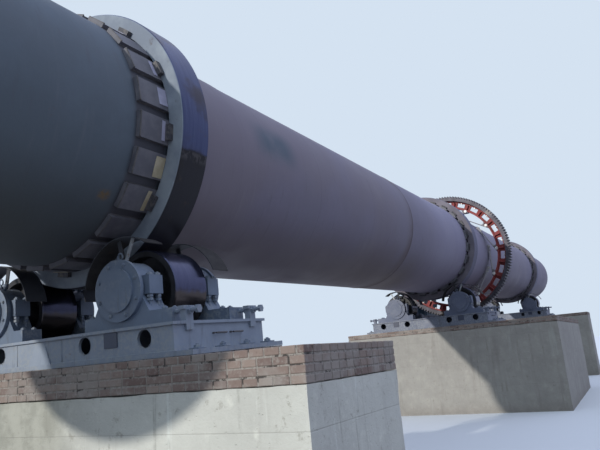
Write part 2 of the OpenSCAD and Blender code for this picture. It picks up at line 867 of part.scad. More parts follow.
// Reducer: a split gear case with a flange at its middle and ribs.
module reducer() {
    body_low = base_top + reducer_foot_t;
    wall = reducer_half - reducer_wall_in;
    top = reducer_h - reducer_foot_t;
    shoulder = top - reducer_cover_h;
    rib_pitch = (reducer_l - 2 * rib_end - reducer_rib_t) / (reducer_ribs - 1);
    color([0.33, 0.45, 0.55])
        across(gear_u)
            difference() {
                translate([pinion_y, 0, reducer_u]) {
                    block([-reducer_half, base_top, 0], [reducer_half, body_low, reducer_l]);
                    linear_extrude(reducer_l)
                        translate([0, body_low - cut])
                            polygon([
                                [-wall, 0], [wall, 0], [wall, shoulder],
                                [wall - reducer_cover_in, top], [reducer_cover_in - wall, top],
                                [-wall, shoulder]
                            ]);
                    block([-reducer_half + 10, pinion_z - reducer_foot_t / 2, -flange_out],
                        [reducer_half - 10, pinion_z + reducer_foot_t / 2, reducer_l + flange_out]);
                    for (i = [0 : reducer_ribs - 1])
                        let (z = rib_end + i * rib_pitch)
                            block([-reducer_half + 25, base_top, z],
                                [reducer_half - 25, pinion_z, z + reducer_rib_t]);
                }
                translate([pinion_y, pinion_z, reducer_u - flange_out - cut])
                    cylinder(h = flange_out + shaft_seat + 40, r = pinion_shaft_r + run_gap);
            }
}

// Motor: a finned body with feet, an end bell and a terminal box.
module motor() {
    start = reducer_u + reducer_l + motor_gap;
    fin_t = 8;
    nose_in = 60;
    bell_l = 110;
    gap = 20;
    motor_shaft_l = 90;
    motor_shaft_r = 60;
    box_l = 200;
    box_h = 130;
    color([0.25, 0.42, 0.58])
        across(gear_u)
            translate([pinion_y, pinion_z, start]) {
                cylinder(h = motor_l, r = motor_r);
                for (i = [0 : fin_count - 1])
                    rotate([0, 0, i * 360 / fin_count])
                        block([motor_r - cut, -fin_t / 2, nose_in],
                            [motor_r + fin_h, fin_t / 2, motor_l - bell_l - gap]);
                translate([0, 0, motor_l - bell_l]) cylinder(h = bell_l, r = motor_r + fin_h + 4);
                translate([0, 0, -motor_shaft_l]) cylinder(h = motor_shaft_l + cut, r = motor_shaft_r);
                for (z = [motor_foot_l, motor_l - bell_l - motor_foot_l - 30])
                    block([-motor_r - 40, base_top - pinion_z, z],
                        [motor_r + 40, -motor_r * 0.6, z + motor_foot_l]);
                block([-box_l / 2, motor_r - cut, box_l], [box_l / 2, motor_r + box_h, 2 * box_l]);
            }
}

// Guard over the coupling between the reducer and the motor.
module coupling_guard() {
    start = reducer_u + reducer_l + flange_out + seat_gap;
    length = motor_gap - flange_out - 2 * seat_gap;
    inner = coupling_guard_r - coupling_guard_t;
    color([0.75, 0.60, 0.15])
        across(gear_u)
            translate([pinion_y, pinion_z, start])
                difference() {
                    union() {
                        cylinder(h = length, r = coupling_guard_r);
                        block([-coupling_guard_r, base_top - pinion_z, 0],
                            [coupling_guard_r, 0, length]);
                    }
                    translate([0, 0, -cut]) cylinder(h = length + 2 * cut, r = inner);
                    block([-inner, base_top - pinion_z - cut, -cut], [inner, 0, length + cut]);
                }
}

for (n = [0 : 2]) {
    pier(n);
    brick_course(n);
    bed(n);
    bearings(n);
    roller_guards(n);
    roller(n, -1);
    roller(n, 1);
    tyre(n);
    tyre_pads(n);
}
shell_course_1();
shell_course_2();
shell_course_3();
shell_course_4();
shell_course_5();
feed_end_cone();
discharge_nose_ring();
girth_gear_rim();
girth_gear_web();
gear_spring_plates();
pinion();
pinion_shaft();
drive_coupling();
pinion_bearings();
drive_base();
reducer();
motor();
coupling_guard();
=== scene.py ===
"""Looks of the rotary kiln: materials, bolts, welds, bricks and cast concrete around the CAD frame.

All lengths are in metres. Kiln places are (u, y, w): u along the axis from the first riding ring
uphill, y across the kiln, w square to both, measured from the kiln's axis. An end or side is -1 or 1.
"""
import math
import random

import bmesh
import bpy
from mathutils import Matrix, Vector, noise


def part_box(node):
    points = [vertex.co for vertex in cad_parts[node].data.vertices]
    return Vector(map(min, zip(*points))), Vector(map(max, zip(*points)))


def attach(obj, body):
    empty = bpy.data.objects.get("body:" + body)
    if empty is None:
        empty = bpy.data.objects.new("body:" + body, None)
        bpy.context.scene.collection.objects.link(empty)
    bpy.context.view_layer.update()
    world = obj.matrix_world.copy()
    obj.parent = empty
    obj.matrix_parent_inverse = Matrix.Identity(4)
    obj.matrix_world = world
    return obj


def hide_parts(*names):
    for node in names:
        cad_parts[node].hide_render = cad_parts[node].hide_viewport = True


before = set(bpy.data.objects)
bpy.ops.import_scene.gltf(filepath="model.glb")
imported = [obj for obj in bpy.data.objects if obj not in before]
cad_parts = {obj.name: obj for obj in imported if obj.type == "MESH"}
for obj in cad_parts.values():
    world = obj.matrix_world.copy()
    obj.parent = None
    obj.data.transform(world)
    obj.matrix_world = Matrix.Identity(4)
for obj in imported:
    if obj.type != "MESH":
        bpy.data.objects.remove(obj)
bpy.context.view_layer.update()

# Driving sizes, as the frame has them
SLOPE = math.atan(0.035)
AXIS_H = 4.06
SHELL_R = 1.25
BORE_R = 1.23
THICK_R = 1.258
STATIONS = (0.0, 12.04, 24.79)
GEAR_U = 14.74
TYRE_R = 1.472
TYRE_BORE = 1.3
TYRE_HALF = 0.195
PAD_COUNT = 24
ROLLER_R = 0.385
ROLLER_DIST = TYRE_R + ROLLER_R + 0.0003
ROLLER_ANGLE = math.radians(29)
ROLLER_Y = ROLLER_DIST * math.sin(ROLLER_ANGLE)
ROLLER_W = -ROLLER_DIST * math.cos(ROLLER_ANGLE)
HOUSING_R = 0.255
HOUSING_MID_U = 0.405
COVER_FACE_U = 0.551
FOOT_TOP = ROLLER_W - 0.21
LUG_TOP = ROLLER_W + 0.105
LUG_LOW = ROLLER_W - 0.06
BED_TOP = ROLLER_W - 0.335
BED_LOW = ROLLER_W - 0.61
SOLE_TOP = BED_LOW + 0.04
SOLE_HALF = 1.8
BED_L = 1.34
BED_HALF = 1.62
WEB_IN = 0.022
HOLE_OFF = 0.35
HOLE_MIDDLE = ROLLER_Y + 0.035
HOLE_W = BED_TOP - 0.112
DRIVE_W = -2.2 * math.cos(math.radians(50))
REDUCER_U = GEAR_U + 0.805
MOTOR_END_U = REDUCER_U + 2.0
BASE_SPAN = (GEAR_U - 0.515, GEAR_U + 2.915)

# Round welds on the shell, as (half width, height), and slopes at the ends of its thick plates
SEAM_U = 7.217
SEAMS = (
    -3.9, 1.1, 3.1, 5.15, SEAM_U, 9.1, 10.94, 13.1,
    16.1, 18.3, 20.4, 22.4, 23.69, 25.89, 27.9, 29.4,
)
PLAIN_BEAD = (0.01, 0.0009)
ROUGH_BEAD = (0.014, 0.005)
TAPER_STEPS = 8
TAPER_LAP = 0.006
TAPER_L = 0.3
THICK_HALF = 1.1
THICK_ENDS = (
    (STATIONS[0] - THICK_HALF, -1), (STATIONS[0] + THICK_HALF, 1), (STATIONS[1] - THICK_HALF, -1),
    (GEAR_U + 1.36, 1), (STATIONS[2] - THICK_HALF, -1), (STATIONS[2] + THICK_HALF, 1),
)

# Pads of the rings: those of the first reach further, and carry bars and bare shims
FIRST_PAD_REACH = 0.38
PAD_REACH = 0.09
PAD_WELD_ANGLE = 5.45
PAD_WELD_R = THICK_R + 0.004
PAD_BAR = (0.016, 0.245, 0.018)
SHIM_SHARE = 0.6
SHIMMED = (11, 12, 13, 14)
SHIM_R = TYRE_BORE + 0.0008
SHIM_T = 0.0035
BLOCKED_START = 0.056
OPEN_START = 0.006

# Turned profiles, as (height, radius); a bolt's parts are (sides, profile) in multiples of its size
BOLT_PARTS = (
    (16, ((0, 1.12), (0.12, 1.12))),
    (6, ((0.1, 1), (0.65, 1), (0.728, 0.86))),
    (10, ((0.65, 0.5), (1, 0.5), (1.07, 0.4))),
)
STUD = ((0, 0.016), (0.112, 0.016))
NUT = ((0, 0.026), (0.003, 0.029), (0.023, 0.029), (0.026, 0.026))
EYE_BOSS = ((0, 0.022), (0.018, 0.022), (0.03, 0.012), (0.04, 0.012))
OIL_CAP = ((0, 0.016), (0.03, 0.016), (0.034, 0.026), (0.06, 0.026), (0.066, 0.02))
PIN_CAP = ((0, 0.05), (0.016, 0.05), (0.024, 0.04))

# Housings: foot bolts as (out, along), fittings as (along, in, up), and stays' ends as (radius, degrees)
COVER_BOLTS = 8
COVER_BOLT_R = 0.234
STUD_OUT = 0.291
STUD_ALONG = 0.05
STUD_L = 0.11
NUT_DROPS = (0.03, 0.062)
FOOT_BOLTS = ((-0.405, -0.06), (-0.405, 0.06), (0.46, -0.06), (0.46, 0.06))
EYE_FOOT = (0.05, 0.045, 0.244)
EYE_UP = 0.071
EYE_R = 0.03
CAP_FOOT = (0.06, 0.12, 0.222)
STAY_U = 0.45
STAY_W = 0.012
STAY_T = 0.034
STAY_FOOT = (HOUSING_R - 0.002, 86)
STAY_HEAD = (0.479, 76)
STAY_BOLT_PART = 0.12

# Beds: cover plates, rings round the holes, upright welds, rod hooks and hold down bolts
COVER_PLATE = (0.01, 0.155, 0.13)
HOLE_RING_R = 0.078
LONG_WELDS_W = (BED_TOP - 0.027, SOLE_TOP + 0.002)
LONG_WELD_STEPS = 40
UPRIGHT_WELDS_Y = (-0.29, 0.33)
HOOKS_U = (-0.06, 0.19)
HOOK = ((-0.085, 0), (-0.085, 0.022), (-0.075, 0.034), (0.075, 0.034), (0.085, 0.022), (0.085, 0))
SOLE_BOLTS_U = (-0.52, -0.18, 0.18, 0.52)
SQUARE_WASHER = (0.1, 0.1, 0.012)

# Girth gear: spring seats with their bolts, bolts through the web, and pin caps
SEAT_COUNT = 12
SEAT_TOP = THICK_R + 0.05
SEAT_BOLTS = ((-0.07, -0.11), (-0.07, 0.0), (0.07, -0.11), (0.07, 0.0))
TIP_BOLTS = ((-0.06, 0.63), (0.06, 0.63))
WEB_BOLTS = 24
WEB_BOLT_R = 1.755
WEB_HALF = 0.03
PIN_U = 0.1095
PIN_PLACE = (1.338, 0.77)

# Drive: rows of bolts on the reducer, as (count, first, pitch, out, up, size), and motor bolts
REDUCER_ROWS = ((7, 0.08, 0.157, 0.395, 0.03, 0.016), (4, 0.1, 0.3, 0.4, -0.34, 0.02))
MOTOR_BOLTS = 8
MOTOR_BOLT_R = 0.24

# Bricks, their joints and the mortar wedges under what stands on them
COURSE_H = 0.0625
BRICK_X = 0.125
HEADER = 0.125
STRETCHER = 0.25
SHORTEST_BRICK = 0.05
JOINT = 0.009
NEAR_EDGE = 0.01
WEDGE_IN = 0.004
WEDGE_GAP = 0.0008
LONG_EDGE = 0.4

# Cast blocks: cut size, unevenness of the faces, and chips on the edges
CAST_STEP = 0.1
UNEVEN = 0.003
CHIP = 0.01

# Camera, as the photograph was taken
CAMERA_AT = Vector((-4.17, -4.754, 1.698))
CAMERA_HEADING = math.radians(61.68)
CAMERA_PITCH = math.radians(12.98)
CAMERA_ROLL = math.radians(-4.95)
LENS = 34.84
SENSOR = 36
PICTURE = (600, 450)

# Pixels of the photograph where the shell has a blue smear and a rusty spot
SMEAR_PIXEL = (276, 146)
RUST_PIXEL = (103, 195)

# Height up to which the first ring's running face carries a painted reflection of the dark ground
GROUND_REFLECTION_W = -0.33

# Way of the key light, over the discharge end and a little from the drive side
SUN_WAY = (0.932, -0.242, -0.271)

KILN = Matrix.Translation((0, 0, AXIS_H)) @ Matrix.Rotation(-SLOPE, 4, "Y")
ALONG = Matrix.Rotation(math.pi / 2, 4, "Y")
UP = (0, 0, 1)
STATION_ENDS = [(station, way) for station in STATIONS for way in (-1, 1)]
rng = random.Random(7)


def camera_turn():
    """3x3 turn of the camera: columns are its right, up and back directions."""
    flat = math.cos(CAMERA_PITCH)
    ahead = Vector((
        math.sin(CAMERA_HEADING) * flat,
        math.cos(CAMERA_HEADING) * flat,
        math.sin(CAMERA_PITCH),
    ))
    level = ahead.cross(Vector(UP)).normalized()
    up = level.cross(ahead)
    turn = Matrix.Rotation(-CAMERA_ROLL, 3, ahead)
    return Matrix((turn @ level, turn @ up, -ahead)).transposed()


def aimed_patch(px, py):
    """(u, w) where a pixel of the photograph meets the shell's near side."""
    right, up, back = [Vector(row) for row in camera_turn().transposed()]
    focal = LENS / SENSOR * PICTURE[0]
    ray = right * (px - PICTURE[0] / 2) - up * (py - PICTURE[1] / 2) - back * focal
    eye = KILN.inverted() @ CAMERA_AT
    ray = KILN.inverted().to_3x3() @ ray
    a = ray.y ** 2 + ray.z ** 2
    b = 2 * (eye.y * ray.y + eye.z * ray.z)
    c = eye.y ** 2 + eye.z ** 2 - SHELL_R ** 2
    hit = eye + ray * ((-b - math.sqrt(b * b - 4 * a * c)) / (2 * a))
    return hit.x, hit.z


def set_inputs(node, values):
    """Sets a node's inputs by name."""
    for name, value in values.items():
        node.inputs[name].default_value = value


def new_object(name, data):
    """Object in the scene for its data."""
    made = bpy.data.objects.new(name, data)
    bpy.context.scene.collection.objects.link(made)
    return made


# Materials
class Nodes:
    """Short calls for the nodes of a material or world."""

    def __init__(self, owner):
        owner.use_nodes = True
        self.nodes = owner.node_tree.nodes
        self.links = owner.node_tree.links

    def add(self, kind, **settings):
        """New node with its settings."""
        node = self.nodes.new(kind)
        for key, value in settings.items():
            setattr(node, key, value)
        return node

    def put(self, value, socket):
        """Links an output to a socket, or sets a number or an (r, g, b) there."""
        if hasattr(value, "is_output"):
            self.links.new(value, socket)
        else:
            socket.default_value = (*value, 1) if isinstance(value, tuple) else value

    def math(self, operation, a, b=0.0, clamp=False):
        """Result of a math node."""
        node = self.add("ShaderNodeMath", operation=operation, use_clamp=clamp)
        self.put(a, node.inputs[0])
        self.put(b, node.inputs[1])
        return node.outputs[0]

    def plus(self, a, b, clamp=False):
        """Sum of two values."""
        return self.math("ADD", a, b, clamp)

    def minus(self, a, b):
        """Difference of two values."""
        return self.math("SUBTRACT", a, b)

    def times(self, a, b):
        """Product of two values."""
        return self.math("MULTIPLY", a, b)

    def split(self, vector):
        """The three parts of a vector."""
        node = self.add("ShaderNodeSeparateXYZ")
        self.put(vector, node.inputs[0])
        return node.outputs

    def radius(self, y, w):
        """Distance from the line where both are 0."""
        return self.math("SQRT", self.plus(self.times(y, y), self.times(w, w)))

    def span(self, value, low, high, to_low=0.0, to_high=1.0, way="SMOOTHSTEP"):
        """Maps low..high to to_low..to_high, clamped."""
        node = self.add("ShaderNodeMapRange", interpolation_type=way)
        self.put(value, node.inputs["Value"])
        set_inputs(node, {"From Min": low, "From Max": high, "To Min": to_low, "To Max": to_high})
        return node.outputs["Result"]

    def mix(self, factor, a, b):
        """Colour a where the factor is 0, and b where it is 1."""
        node = self.add("ShaderNodeMix", data_type="RGBA")
        self.put(factor, node.inputs["Factor"])
        self.put(a, node.inputs[6])
        self.put(b, node.inputs[7])
        return node.outputs[2]

    def blend(self, value, a, b, low=0.35, high=0.65):
        """Colour a where a value is low, and b where it is high."""
        return self.mix(self.span(value, low, high), a, b)

    def over(self, colour, tone, value, low, high, full):
        """Colour with a tone over it, from none where a value is low to full where it is high."""
        return self.mix(self.span(value, low, high, 0, full), colour, tone)


class Paint(Nodes):
    """One procedural material, laid out in world places or in kiln places."""

    def __init__(self, name, metallic=0.0, on_kiln=False):
        self.mat = bpy.data.materials.new(name)
        super().__init__(self.mat)
        self.shader = self.nodes["Principled BSDF"]
        self.shader.inputs["Metallic"].default_value = metallic
        self.place = self.add("ShaderNodeTexCoord").outputs["Object"]
        if on_kiln:
            rise = (-AXIS_H * math.sin(SLOPE), 0, -AXIS_H * math.cos(SLOPE))
            self.place = self.mapped({"Rotation": (0, SLOPE, 0), "Location": rise})

    def mapped(self, settings):
        """The place after a mapping."""
        node = self.add("ShaderNodeMapping")
        set_inputs(node, settings)
        self.put(self.place, node.inputs["Vector"])
        return node.outputs[0]

    def noise(self, scale, detail=5.0, rough=0.55, stretch=(1, 1, 1), shift=(0, 0, 0)):
        """Noise over the stretched and shifted place."""
        place = self.mapped({"Scale": stretch, "Location": shift})
        node = self.add("ShaderNodeTexNoise")
        self.put(place, node.inputs["Vector"])
        set_inputs(node, {"Scale": scale, "Detail": detail, "Roughness": rough})
        return node.outputs["Fac"]

    def smudge(self, pixel, along, up):
        """Soft spot on the shell's near side, aimed at a pixel of the photograph.

        It is full as far off as the first numbers of along and up, and gone at the second.
        """
        u, y, w = self.split(self.place)
        aim_u, aim_w = aimed_patch(*pixel)
        spot = self.span(y, -0.4, -0.2, 1, 0)
        for part, aim, reach in ((u, aim_u, along), (w, aim_w, up)):
            off = self.math("ABSOLUTE", self.minus(part, aim))
            spot = self.times(spot, self.span(off, *reach, 1, 0))
        return spot

    def finish(self, colour, rough, bump=None, depth=0.002):
        """Gives the shader its colour, its roughness and a bump."""
        self.put(colour, self.shader.inputs["Base Color"])
        self.put(rough, self.shader.inputs["Roughness"])
        if bump is not None:
            node = self.add("ShaderNodeBump")
            set_inputs(node, {"Distance": depth, "Strength": 1.0})
            self.put(bump, node.inputs["Height"])
            self.put(node.outputs[0], self.shader.inputs["Normal"])
        return self.mat


def shell_paint():
    """Weathered grey paint, darker and greener on the discharge side of the first ring, with painted shade
    on its underside and between the first ring's pads.
    """
    p = Paint("shell_paint", on_kiln=True)
    u, y, w = p.split(p.place)
    blotch = p.noise(1.1, 6, 0.62)
    fine = p.noise(38, 4, 0.6)
    streak = p.noise(2.2, 6, 0.6, stretch=(7, 0.7, 0.7))
    cloud = p.noise(0.35, 3, 0.5, shift=(4, 2, 1))
    warm = p.blend(blotch, (0.154, 0.142, 0.202), (0.204, 0.192, 0.265), 0.35, 0.68)
    warm = p.over(warm, (0.178, 0.152, 0.18), cloud, 0.4, 0.62, 0.6)
    green = p.blend(blotch, (0.07, 0.094, 0.122), (0.102, 0.132, 0.17), 0.35, 0.68)
    past_ring = p.span(u, -0.3, 0.3)
    colour = p.mix(past_ring, green, warm)
    pale = p.times(p.span(streak, 0.55, 0.78, 0, 0.3), p.span(u, -0.3, 0.3, 0.35, 1))
    colour = p.mix(pale, colour, (0.24, 0.228, 0.262))
    colour = p.mix(p.span(streak, 0.2, 0.42, 0.4, 0), colour, (0.07, 0.058, 0.072))
    # Painted shade: the shell darkens towards its underside, browner past the first ring.
    under = p.mix(past_ring, (0.034, 0.032, 0.026), (0.112, 0.086, 0.08))
    colour = p.mix(p.span(w, -1.15, -0.45, 0.62, 0), colour, under)
    colour = p.mix(seam_stain(p, u, blotch), colour, (0.085, 0.058, 0.055))
    # Painted shade: the shell is darker between the pads of the first ring, next to the ring's edge.
    between = p.times(p.span(u, -0.62, -0.56), p.span(u, -0.2, -0.19, 1, 0))
    colour = p.mix(p.times(between, 0.75), colour, (0.046, 0.04, 0.052))
    # Paler, bluer shell from u 7.6 to 16, fading out beyond the gear.
    paler_stretch = p.times(p.span(u, 7.6, 10.0, 0, 0.6), p.span(u, 13.0, 16.0, 1, 0.45))
    colour = p.mix(paler_stretch, colour, (0.285, 0.275, 0.4))
    rust = p.noise(3.1, 8, 0.7, shift=(9, 5, 2))
    colour = p.over(colour, (0.12, 0.06, 0.032), rust, 0.67, 0.74, 0.55)
    smear = p.smudge(SMEAR_PIXEL, (0.18, 0.62), (0.05, 0.33))
    smear = p.times(smear, p.span(blotch, 0.3, 0.6, 0.25, 0.75))
    colour = p.mix(smear, colour, (0.055, 0.095, 0.135))
    spot = p.smudge(RUST_PIXEL, (0.02, 0.09), (0.01, 0.055))
    spot = p.times(spot, p.span(fine, 0.42, 0.55, 0.3, 1))
    colour = p.mix(spot, colour, (0.15, 0.098, 0.048))
    radius = p.radius(y, w)
    inside = p.span(radius, BORE_R + 0.002, BORE_R + 0.006, 1, 0)
    in_tone = p.blend(blotch, (0.075, 0.042, 0.026), (0.14, 0.085, 0.058), 0.3, 0.7)
    colour = p.mix(inside, colour, in_tone)
    rough = p.span(blotch, 0.3, 0.7, 0.58, 0.8)
    dents = p.plus(p.times(p.noise(0.9, 2), 3.0), p.times(fine, 0.16))
    return p.finish(colour, rough, dents, 0.006)


def seam_stain(p, u, blotch):
    """Brown stain along the rough round seam and beside it."""
    off = p.minus(u, SEAM_U)
    below = p.span(off, -0.42, -0.04)
    above = p.span(off, 0.02, 0.05, 1, 0)
    band = p.times(below, above)
    return p.times(band, p.span(blotch, 0.35, 0.6, 0.2, 0.65))


def ring_paint():
    """Riding ring: grey-green flanks, and a dark worn running face, bluish in part as a painted reflection
    of the sky and near black low down as a painted reflection of the ground.
    """
    p = Paint("ring_paint", on_kiln=True)
    u, y, w = p.split(p.place)
    radius = p.radius(y, w)
    blotch = p.noise(2.4, 6, 0.6)
    fine = p.noise(60, 3)
    first = p.span(u, 2.0, 4.0, 1, 0)
    flank_1 = p.blend(blotch, (0.2, 0.232, 0.29), (0.29, 0.334, 0.388))
    flank_2 = p.blend(blotch, (0.14, 0.13, 0.16), (0.195, 0.18, 0.215))
    colour = p.mix(first, flank_2, flank_1)
    run = p.noise(4.0, 5, 0.6, stretch=(9, 0.6, 0.6))
    # Bluish tone of the first ring's running face, partly a painted reflection of the sky.
    face_1 = p.blend(run, (0.052, 0.064, 0.136), (0.07, 0.086, 0.171), 0.3, 0.7)
    worn = p.noise(1.6, 4, shift=(3, 1, 8))
    face_1 = p.over(face_1, (0.044, 0.036, 0.04), worn, 0.52, 0.66, 0.8)
    # Painted reflection: below a wavy height the running face is near black and not metallic, standing in
    # for the dark ground it mirrors.
    ground_reflection_edge = p.plus(w, p.times(p.minus(blotch, 0.5), 0.1))
    ground_reflection = p.span(ground_reflection_edge, GROUND_REFLECTION_W - 0.03, GROUND_REFLECTION_W, 0.92, 0)
    face_1 = p.mix(ground_reflection, face_1, (0.014, 0.012, 0.012))
    scuff = p.times(p.span(w, GROUND_REFLECTION_W - 0.13, GROUND_REFLECTION_W - 0.07), p.span(w, GROUND_REFLECTION_W - 0.04, GROUND_REFLECTION_W - 0.01, 1, 0))
    patchy = p.noise(9, 4, 0.6, stretch=(2, 1, 1))
    scuff = p.times(scuff, p.span(patchy, 0.44, 0.56, 0, 0.75))
    face_1 = p.mix(scuff, face_1, (0.08, 0.076, 0.082))
    face_2 = p.blend(run, (0.128, 0.13, 0.195), (0.188, 0.19, 0.268))
    face = p.mix(first, face_2, face_1)
    on_face = p.span(radius, TYRE_R - 0.012, TYRE_R - 0.004)
    colour = p.mix(on_face, colour, face)
    grime = p.noise(5.5, 7, 0.7, shift=(1, 7, 3))
    colour = p.over(colour, (0.09, 0.055, 0.035), grime, 0.6, 0.72, 0.5)
    rough = p.minus(0.62, p.times(p.times(on_face, first), 0.24))
    bare = p.times(p.minus(1.0, ground_reflection), 0.45)
    p.put(p.times(p.times(on_face, first), bare), p.shader.inputs["Metallic"])
    p.shader.inputs["Specular IOR Level"].default_value = 0.15
    lathe = p.noise(30, 2, 0.5, stretch=(6, 0.2, 0.2))
    return p.finish(colour, rough, p.plus(fine, p.times(lathe, 0.3)), 0.0008)


def pad_steel():
    """Grey primer on the pads, with bare places beside the ring and rusty stop blocks."""
    p = Paint("pad_steel", on_kiln=True)
    u, y, w = p.split(p.place)
    radius = p.radius(y, w)
    blotch = p.noise(5, 6, 0.6)
    colour = p.blend(blotch, (0.095, 0.096, 0.118), (0.155, 0.154, 0.178))
    high = p.span(radius, TYRE_BORE + 0.004, TYRE_BORE + 0.012)
    rust = p.noise(14, 6, 0.7, shift=(2, 2, 2))
    stop = p.blend(rust, (0.046, 0.046, 0.056), (0.115, 0.108, 0.108), 0.42, 0.6)
    dark_stop = p.blend(rust, (0.03, 0.03, 0.038), (0.06, 0.056, 0.062), 0.42, 0.6)
    stop = p.blend(u, stop, dark_stop, 2.0, 4.0)
    colour = p.mix(high, colour, stop)
    colour = p.over(colour, (0.13, 0.08, 0.045), rust, 0.68, 0.76, 0.4)
    return p.finish(colour, p.span(blotch, 0.3, 0.7, 0.5, 0.75), p.noise(70, 4), 0.0015)


def spring_steel():
    """Spring plates and their seats, in grey primer."""
    p = Paint("spring_steel")
    blotch = p.noise(4, 6, 0.6)
    colour = p.blend(blotch, (0.15, 0.14, 0.17), (0.235, 0.222, 0.255))
    rust = p.noise(9, 7, 0.7, shift=(4, 4, 1))
    colour = p.over(colour, (0.16, 0.075, 0.04), rust, 0.58, 0.7, 0.7)
    return p.finish(colour, p.span(blotch, 0.3, 0.7, 0.45, 0.7), p.noise(50, 4), 0.0012)


def machine_paint(name, dark, light, dust, edge=0.5, uphill_shade=None):
    """Machine paint: dust on what faces up, chips on edges, greasy places, and a darker tone uphill, which
    is painted shade.
    """
    p = Paint(name)
    blotch = p.noise(3.2, 6, 0.6)
    colour = p.blend(blotch, dark, light, 0.35, 0.68)
    # Painted shade: a darker tone on the stations uphill.
    if uphill_shade is not None:
        colour = p.mix(p.span(p.split(p.place)[0], 4.0, 8.0, 0, 0.8), colour, uphill_shade)
    surface = p.add("ShaderNodeNewGeometry").outputs
    up = p.split(surface["Normal"])[2]
    grain = p.noise(11, 7, 0.7, shift=(1, 3, 5))
    lying = p.times(p.span(up, 0.55, 0.95), p.span(grain, 0.38, 0.62, 0.25, 0.9))
    colour = p.mix(lying, colour, dust)
    chips = p.noise(26, 6, 0.7, shift=(8, 2, 2))
    worn = p.span(surface["Pointiness"], 0.52, 0.6)
    worn = p.times(worn, p.span(chips, 0.45, 0.6, 0, edge))
    colour = p.mix(worn, colour, (0.3, 0.32, 0.33))
    spots = p.span(p.noise(7, 7, 0.72, shift=(5, 1, 9)), 0.64, 0.7, 0, 0.55)
    colour = p.mix(spots, colour, (0.13, 0.07, 0.038))
    streak = p.noise(3, 5, 0.6, stretch=(4, 4, 0.5), shift=(2, 9, 4))
    colour = p.over(colour, (0.055, 0.052, 0.05), streak, 0.56, 0.72, 0.35)
    sheen = p.plus(p.span(blotch, 0.3, 0.7, 0.38, 0.62), p.times(lying, 0.3), clamp=True)
    bump = p.plus(p.noise(6, 2), p.times(p.noise(90, 4), 0.5))
    return p.finish(colour, sheen, bump, 0.0016)


def guard_paint():
    """Dark sheet of the roller guards, browner and darker on the outward faces as painted shade."""
    p = Paint("guard_paint")
    blotch = p.noise(3.2, 6, 0.6)
    grain = p.noise(11, 7, 0.7, shift=(1, 3, 5))
    colour = p.blend(blotch, (0.038, 0.042, 0.052), (0.052, 0.056, 0.068), 0.35, 0.68)
    across = p.split(p.place)[1]
    normal = p.split(p.add("ShaderNodeNewGeometry").outputs["Normal"])[1]
    outside = p.span(p.times(across, normal), 0.05, 0.25)
    # Painted shade: the guards' outward faces are made near black.
    outward_shade = p.blend(grain, (0.017, 0.014, 0.014), (0.03, 0.026, 0.025), 0.38, 0.62)
    colour = p.mix(p.times(outside, 0.9), colour, outward_shade)
    rust = p.noise(7, 7, 0.72, shift=(5, 1, 9))
    colour = p.over(colour, (0.08, 0.05, 0.034), rust, 0.64, 0.7, 0.4)
    return p.finish(colour, p.span(blotch, 0.3, 0.7, 0.7, 0.88), p.noise(90, 4), 0.001)


def roller_steel(name, side, shade_darkening):
    """Polished roller face, bluish and brown low down, partly painted reflections of sky and ground, and
    dark painted ends; the last argument darkens the face as painted shade.
    """
    p = Paint(name, on_kiln=True)
    _, y, w = p.split(p.place)
    dy = p.minus(y, side * ROLLER_Y)
    dw = p.minus(w, ROLLER_W)
    radius = p.radius(dy, dw)
    face = p.span(radius, ROLLER_R - 0.014, ROLLER_R - 0.009)
    rings = p.noise(9, 5, 0.6, stretch=(14, 0.5, 0.5))
    spots = p.noise(10, 7, 0.7)
    # Bluish face, partly a painted reflection of the sky.
    polished = p.blend(rings, (0.058, 0.064, 0.118), (0.092, 0.098, 0.165), 0.3, 0.7)
    polished = p.over(polished, (0.05, 0.04, 0.036), spots, 0.6, 0.72, 0.35)
    # Painted reflection of the ground: brown on the lower part of the face.
    low = p.plus(dw, p.times(p.minus(spots, 0.5), 0.12))
    polished = p.mix(p.span(low, -0.07, -0.01, 0.92, 0), polished, (0.06, 0.046, 0.038))
    # Painted shade: darkens the face, most on the far rollers.
    polished = p.mix(shade_darkening, polished, (0.016, 0.015, 0.018))
    ends = p.blend(spots, (0.012, 0.012, 0.015), (0.026, 0.026, 0.031), 0.4, 0.6)
    colour = p.mix(face, ends, polished)
    p.put(p.times(face, 0.85), p.shader.inputs["Metallic"])
    rough = p.plus(p.times(face, -0.36), p.span(spots, 0.4, 0.65, 0.54, 0.62))
    return p.finish(colour, rough, rings, 0.0002)


def gear_steel():
    """Cut steel with dark grease between the teeth."""
    p = Paint("gear_steel", 0.35, on_kiln=True)
    blotch = p.noise(5, 6, 0.6)
    colour = p.blend(blotch, (0.036, 0.033, 0.046), (0.07, 0.065, 0.086))
    grease = p.noise(2.2, 5, 0.6, shift=(3, 3, 3))
    colour = p.over(colour, (0.035, 0.03, 0.026), grease, 0.5, 0.62, 0.7)
    return p.finish(colour, p.span(grease, 0.45, 0.65, 0.52, 0.3), p.noise(60, 4), 0.001)


def gear_red():
    """Rust-red primer, chalky, with grey scuffs."""
    p = Paint("gear_red", on_kiln=True)
    blotch = p.noise(4, 6, 0.65)
    colour = p.blend(blotch, (0.185, 0.024, 0.027), (0.275, 0.046, 0.046))
    scuff = p.noise(12, 7, 0.7, shift=(6, 1, 4))
    colour = p.over(colour, (0.17, 0.15, 0.16), scuff, 0.6, 0.72, 0.6)
    dark = p.noise(2, 4, 0.6, shift=(1, 1, 9))
    colour = p.over(colour, (0.115, 0.026, 0.026), dark, 0.52, 0.66, 0.6)
    return p.finish(colour, p.span(blotch, 0.3, 0.7, 0.55, 0.8), p.noise(55, 4), 0.0015)


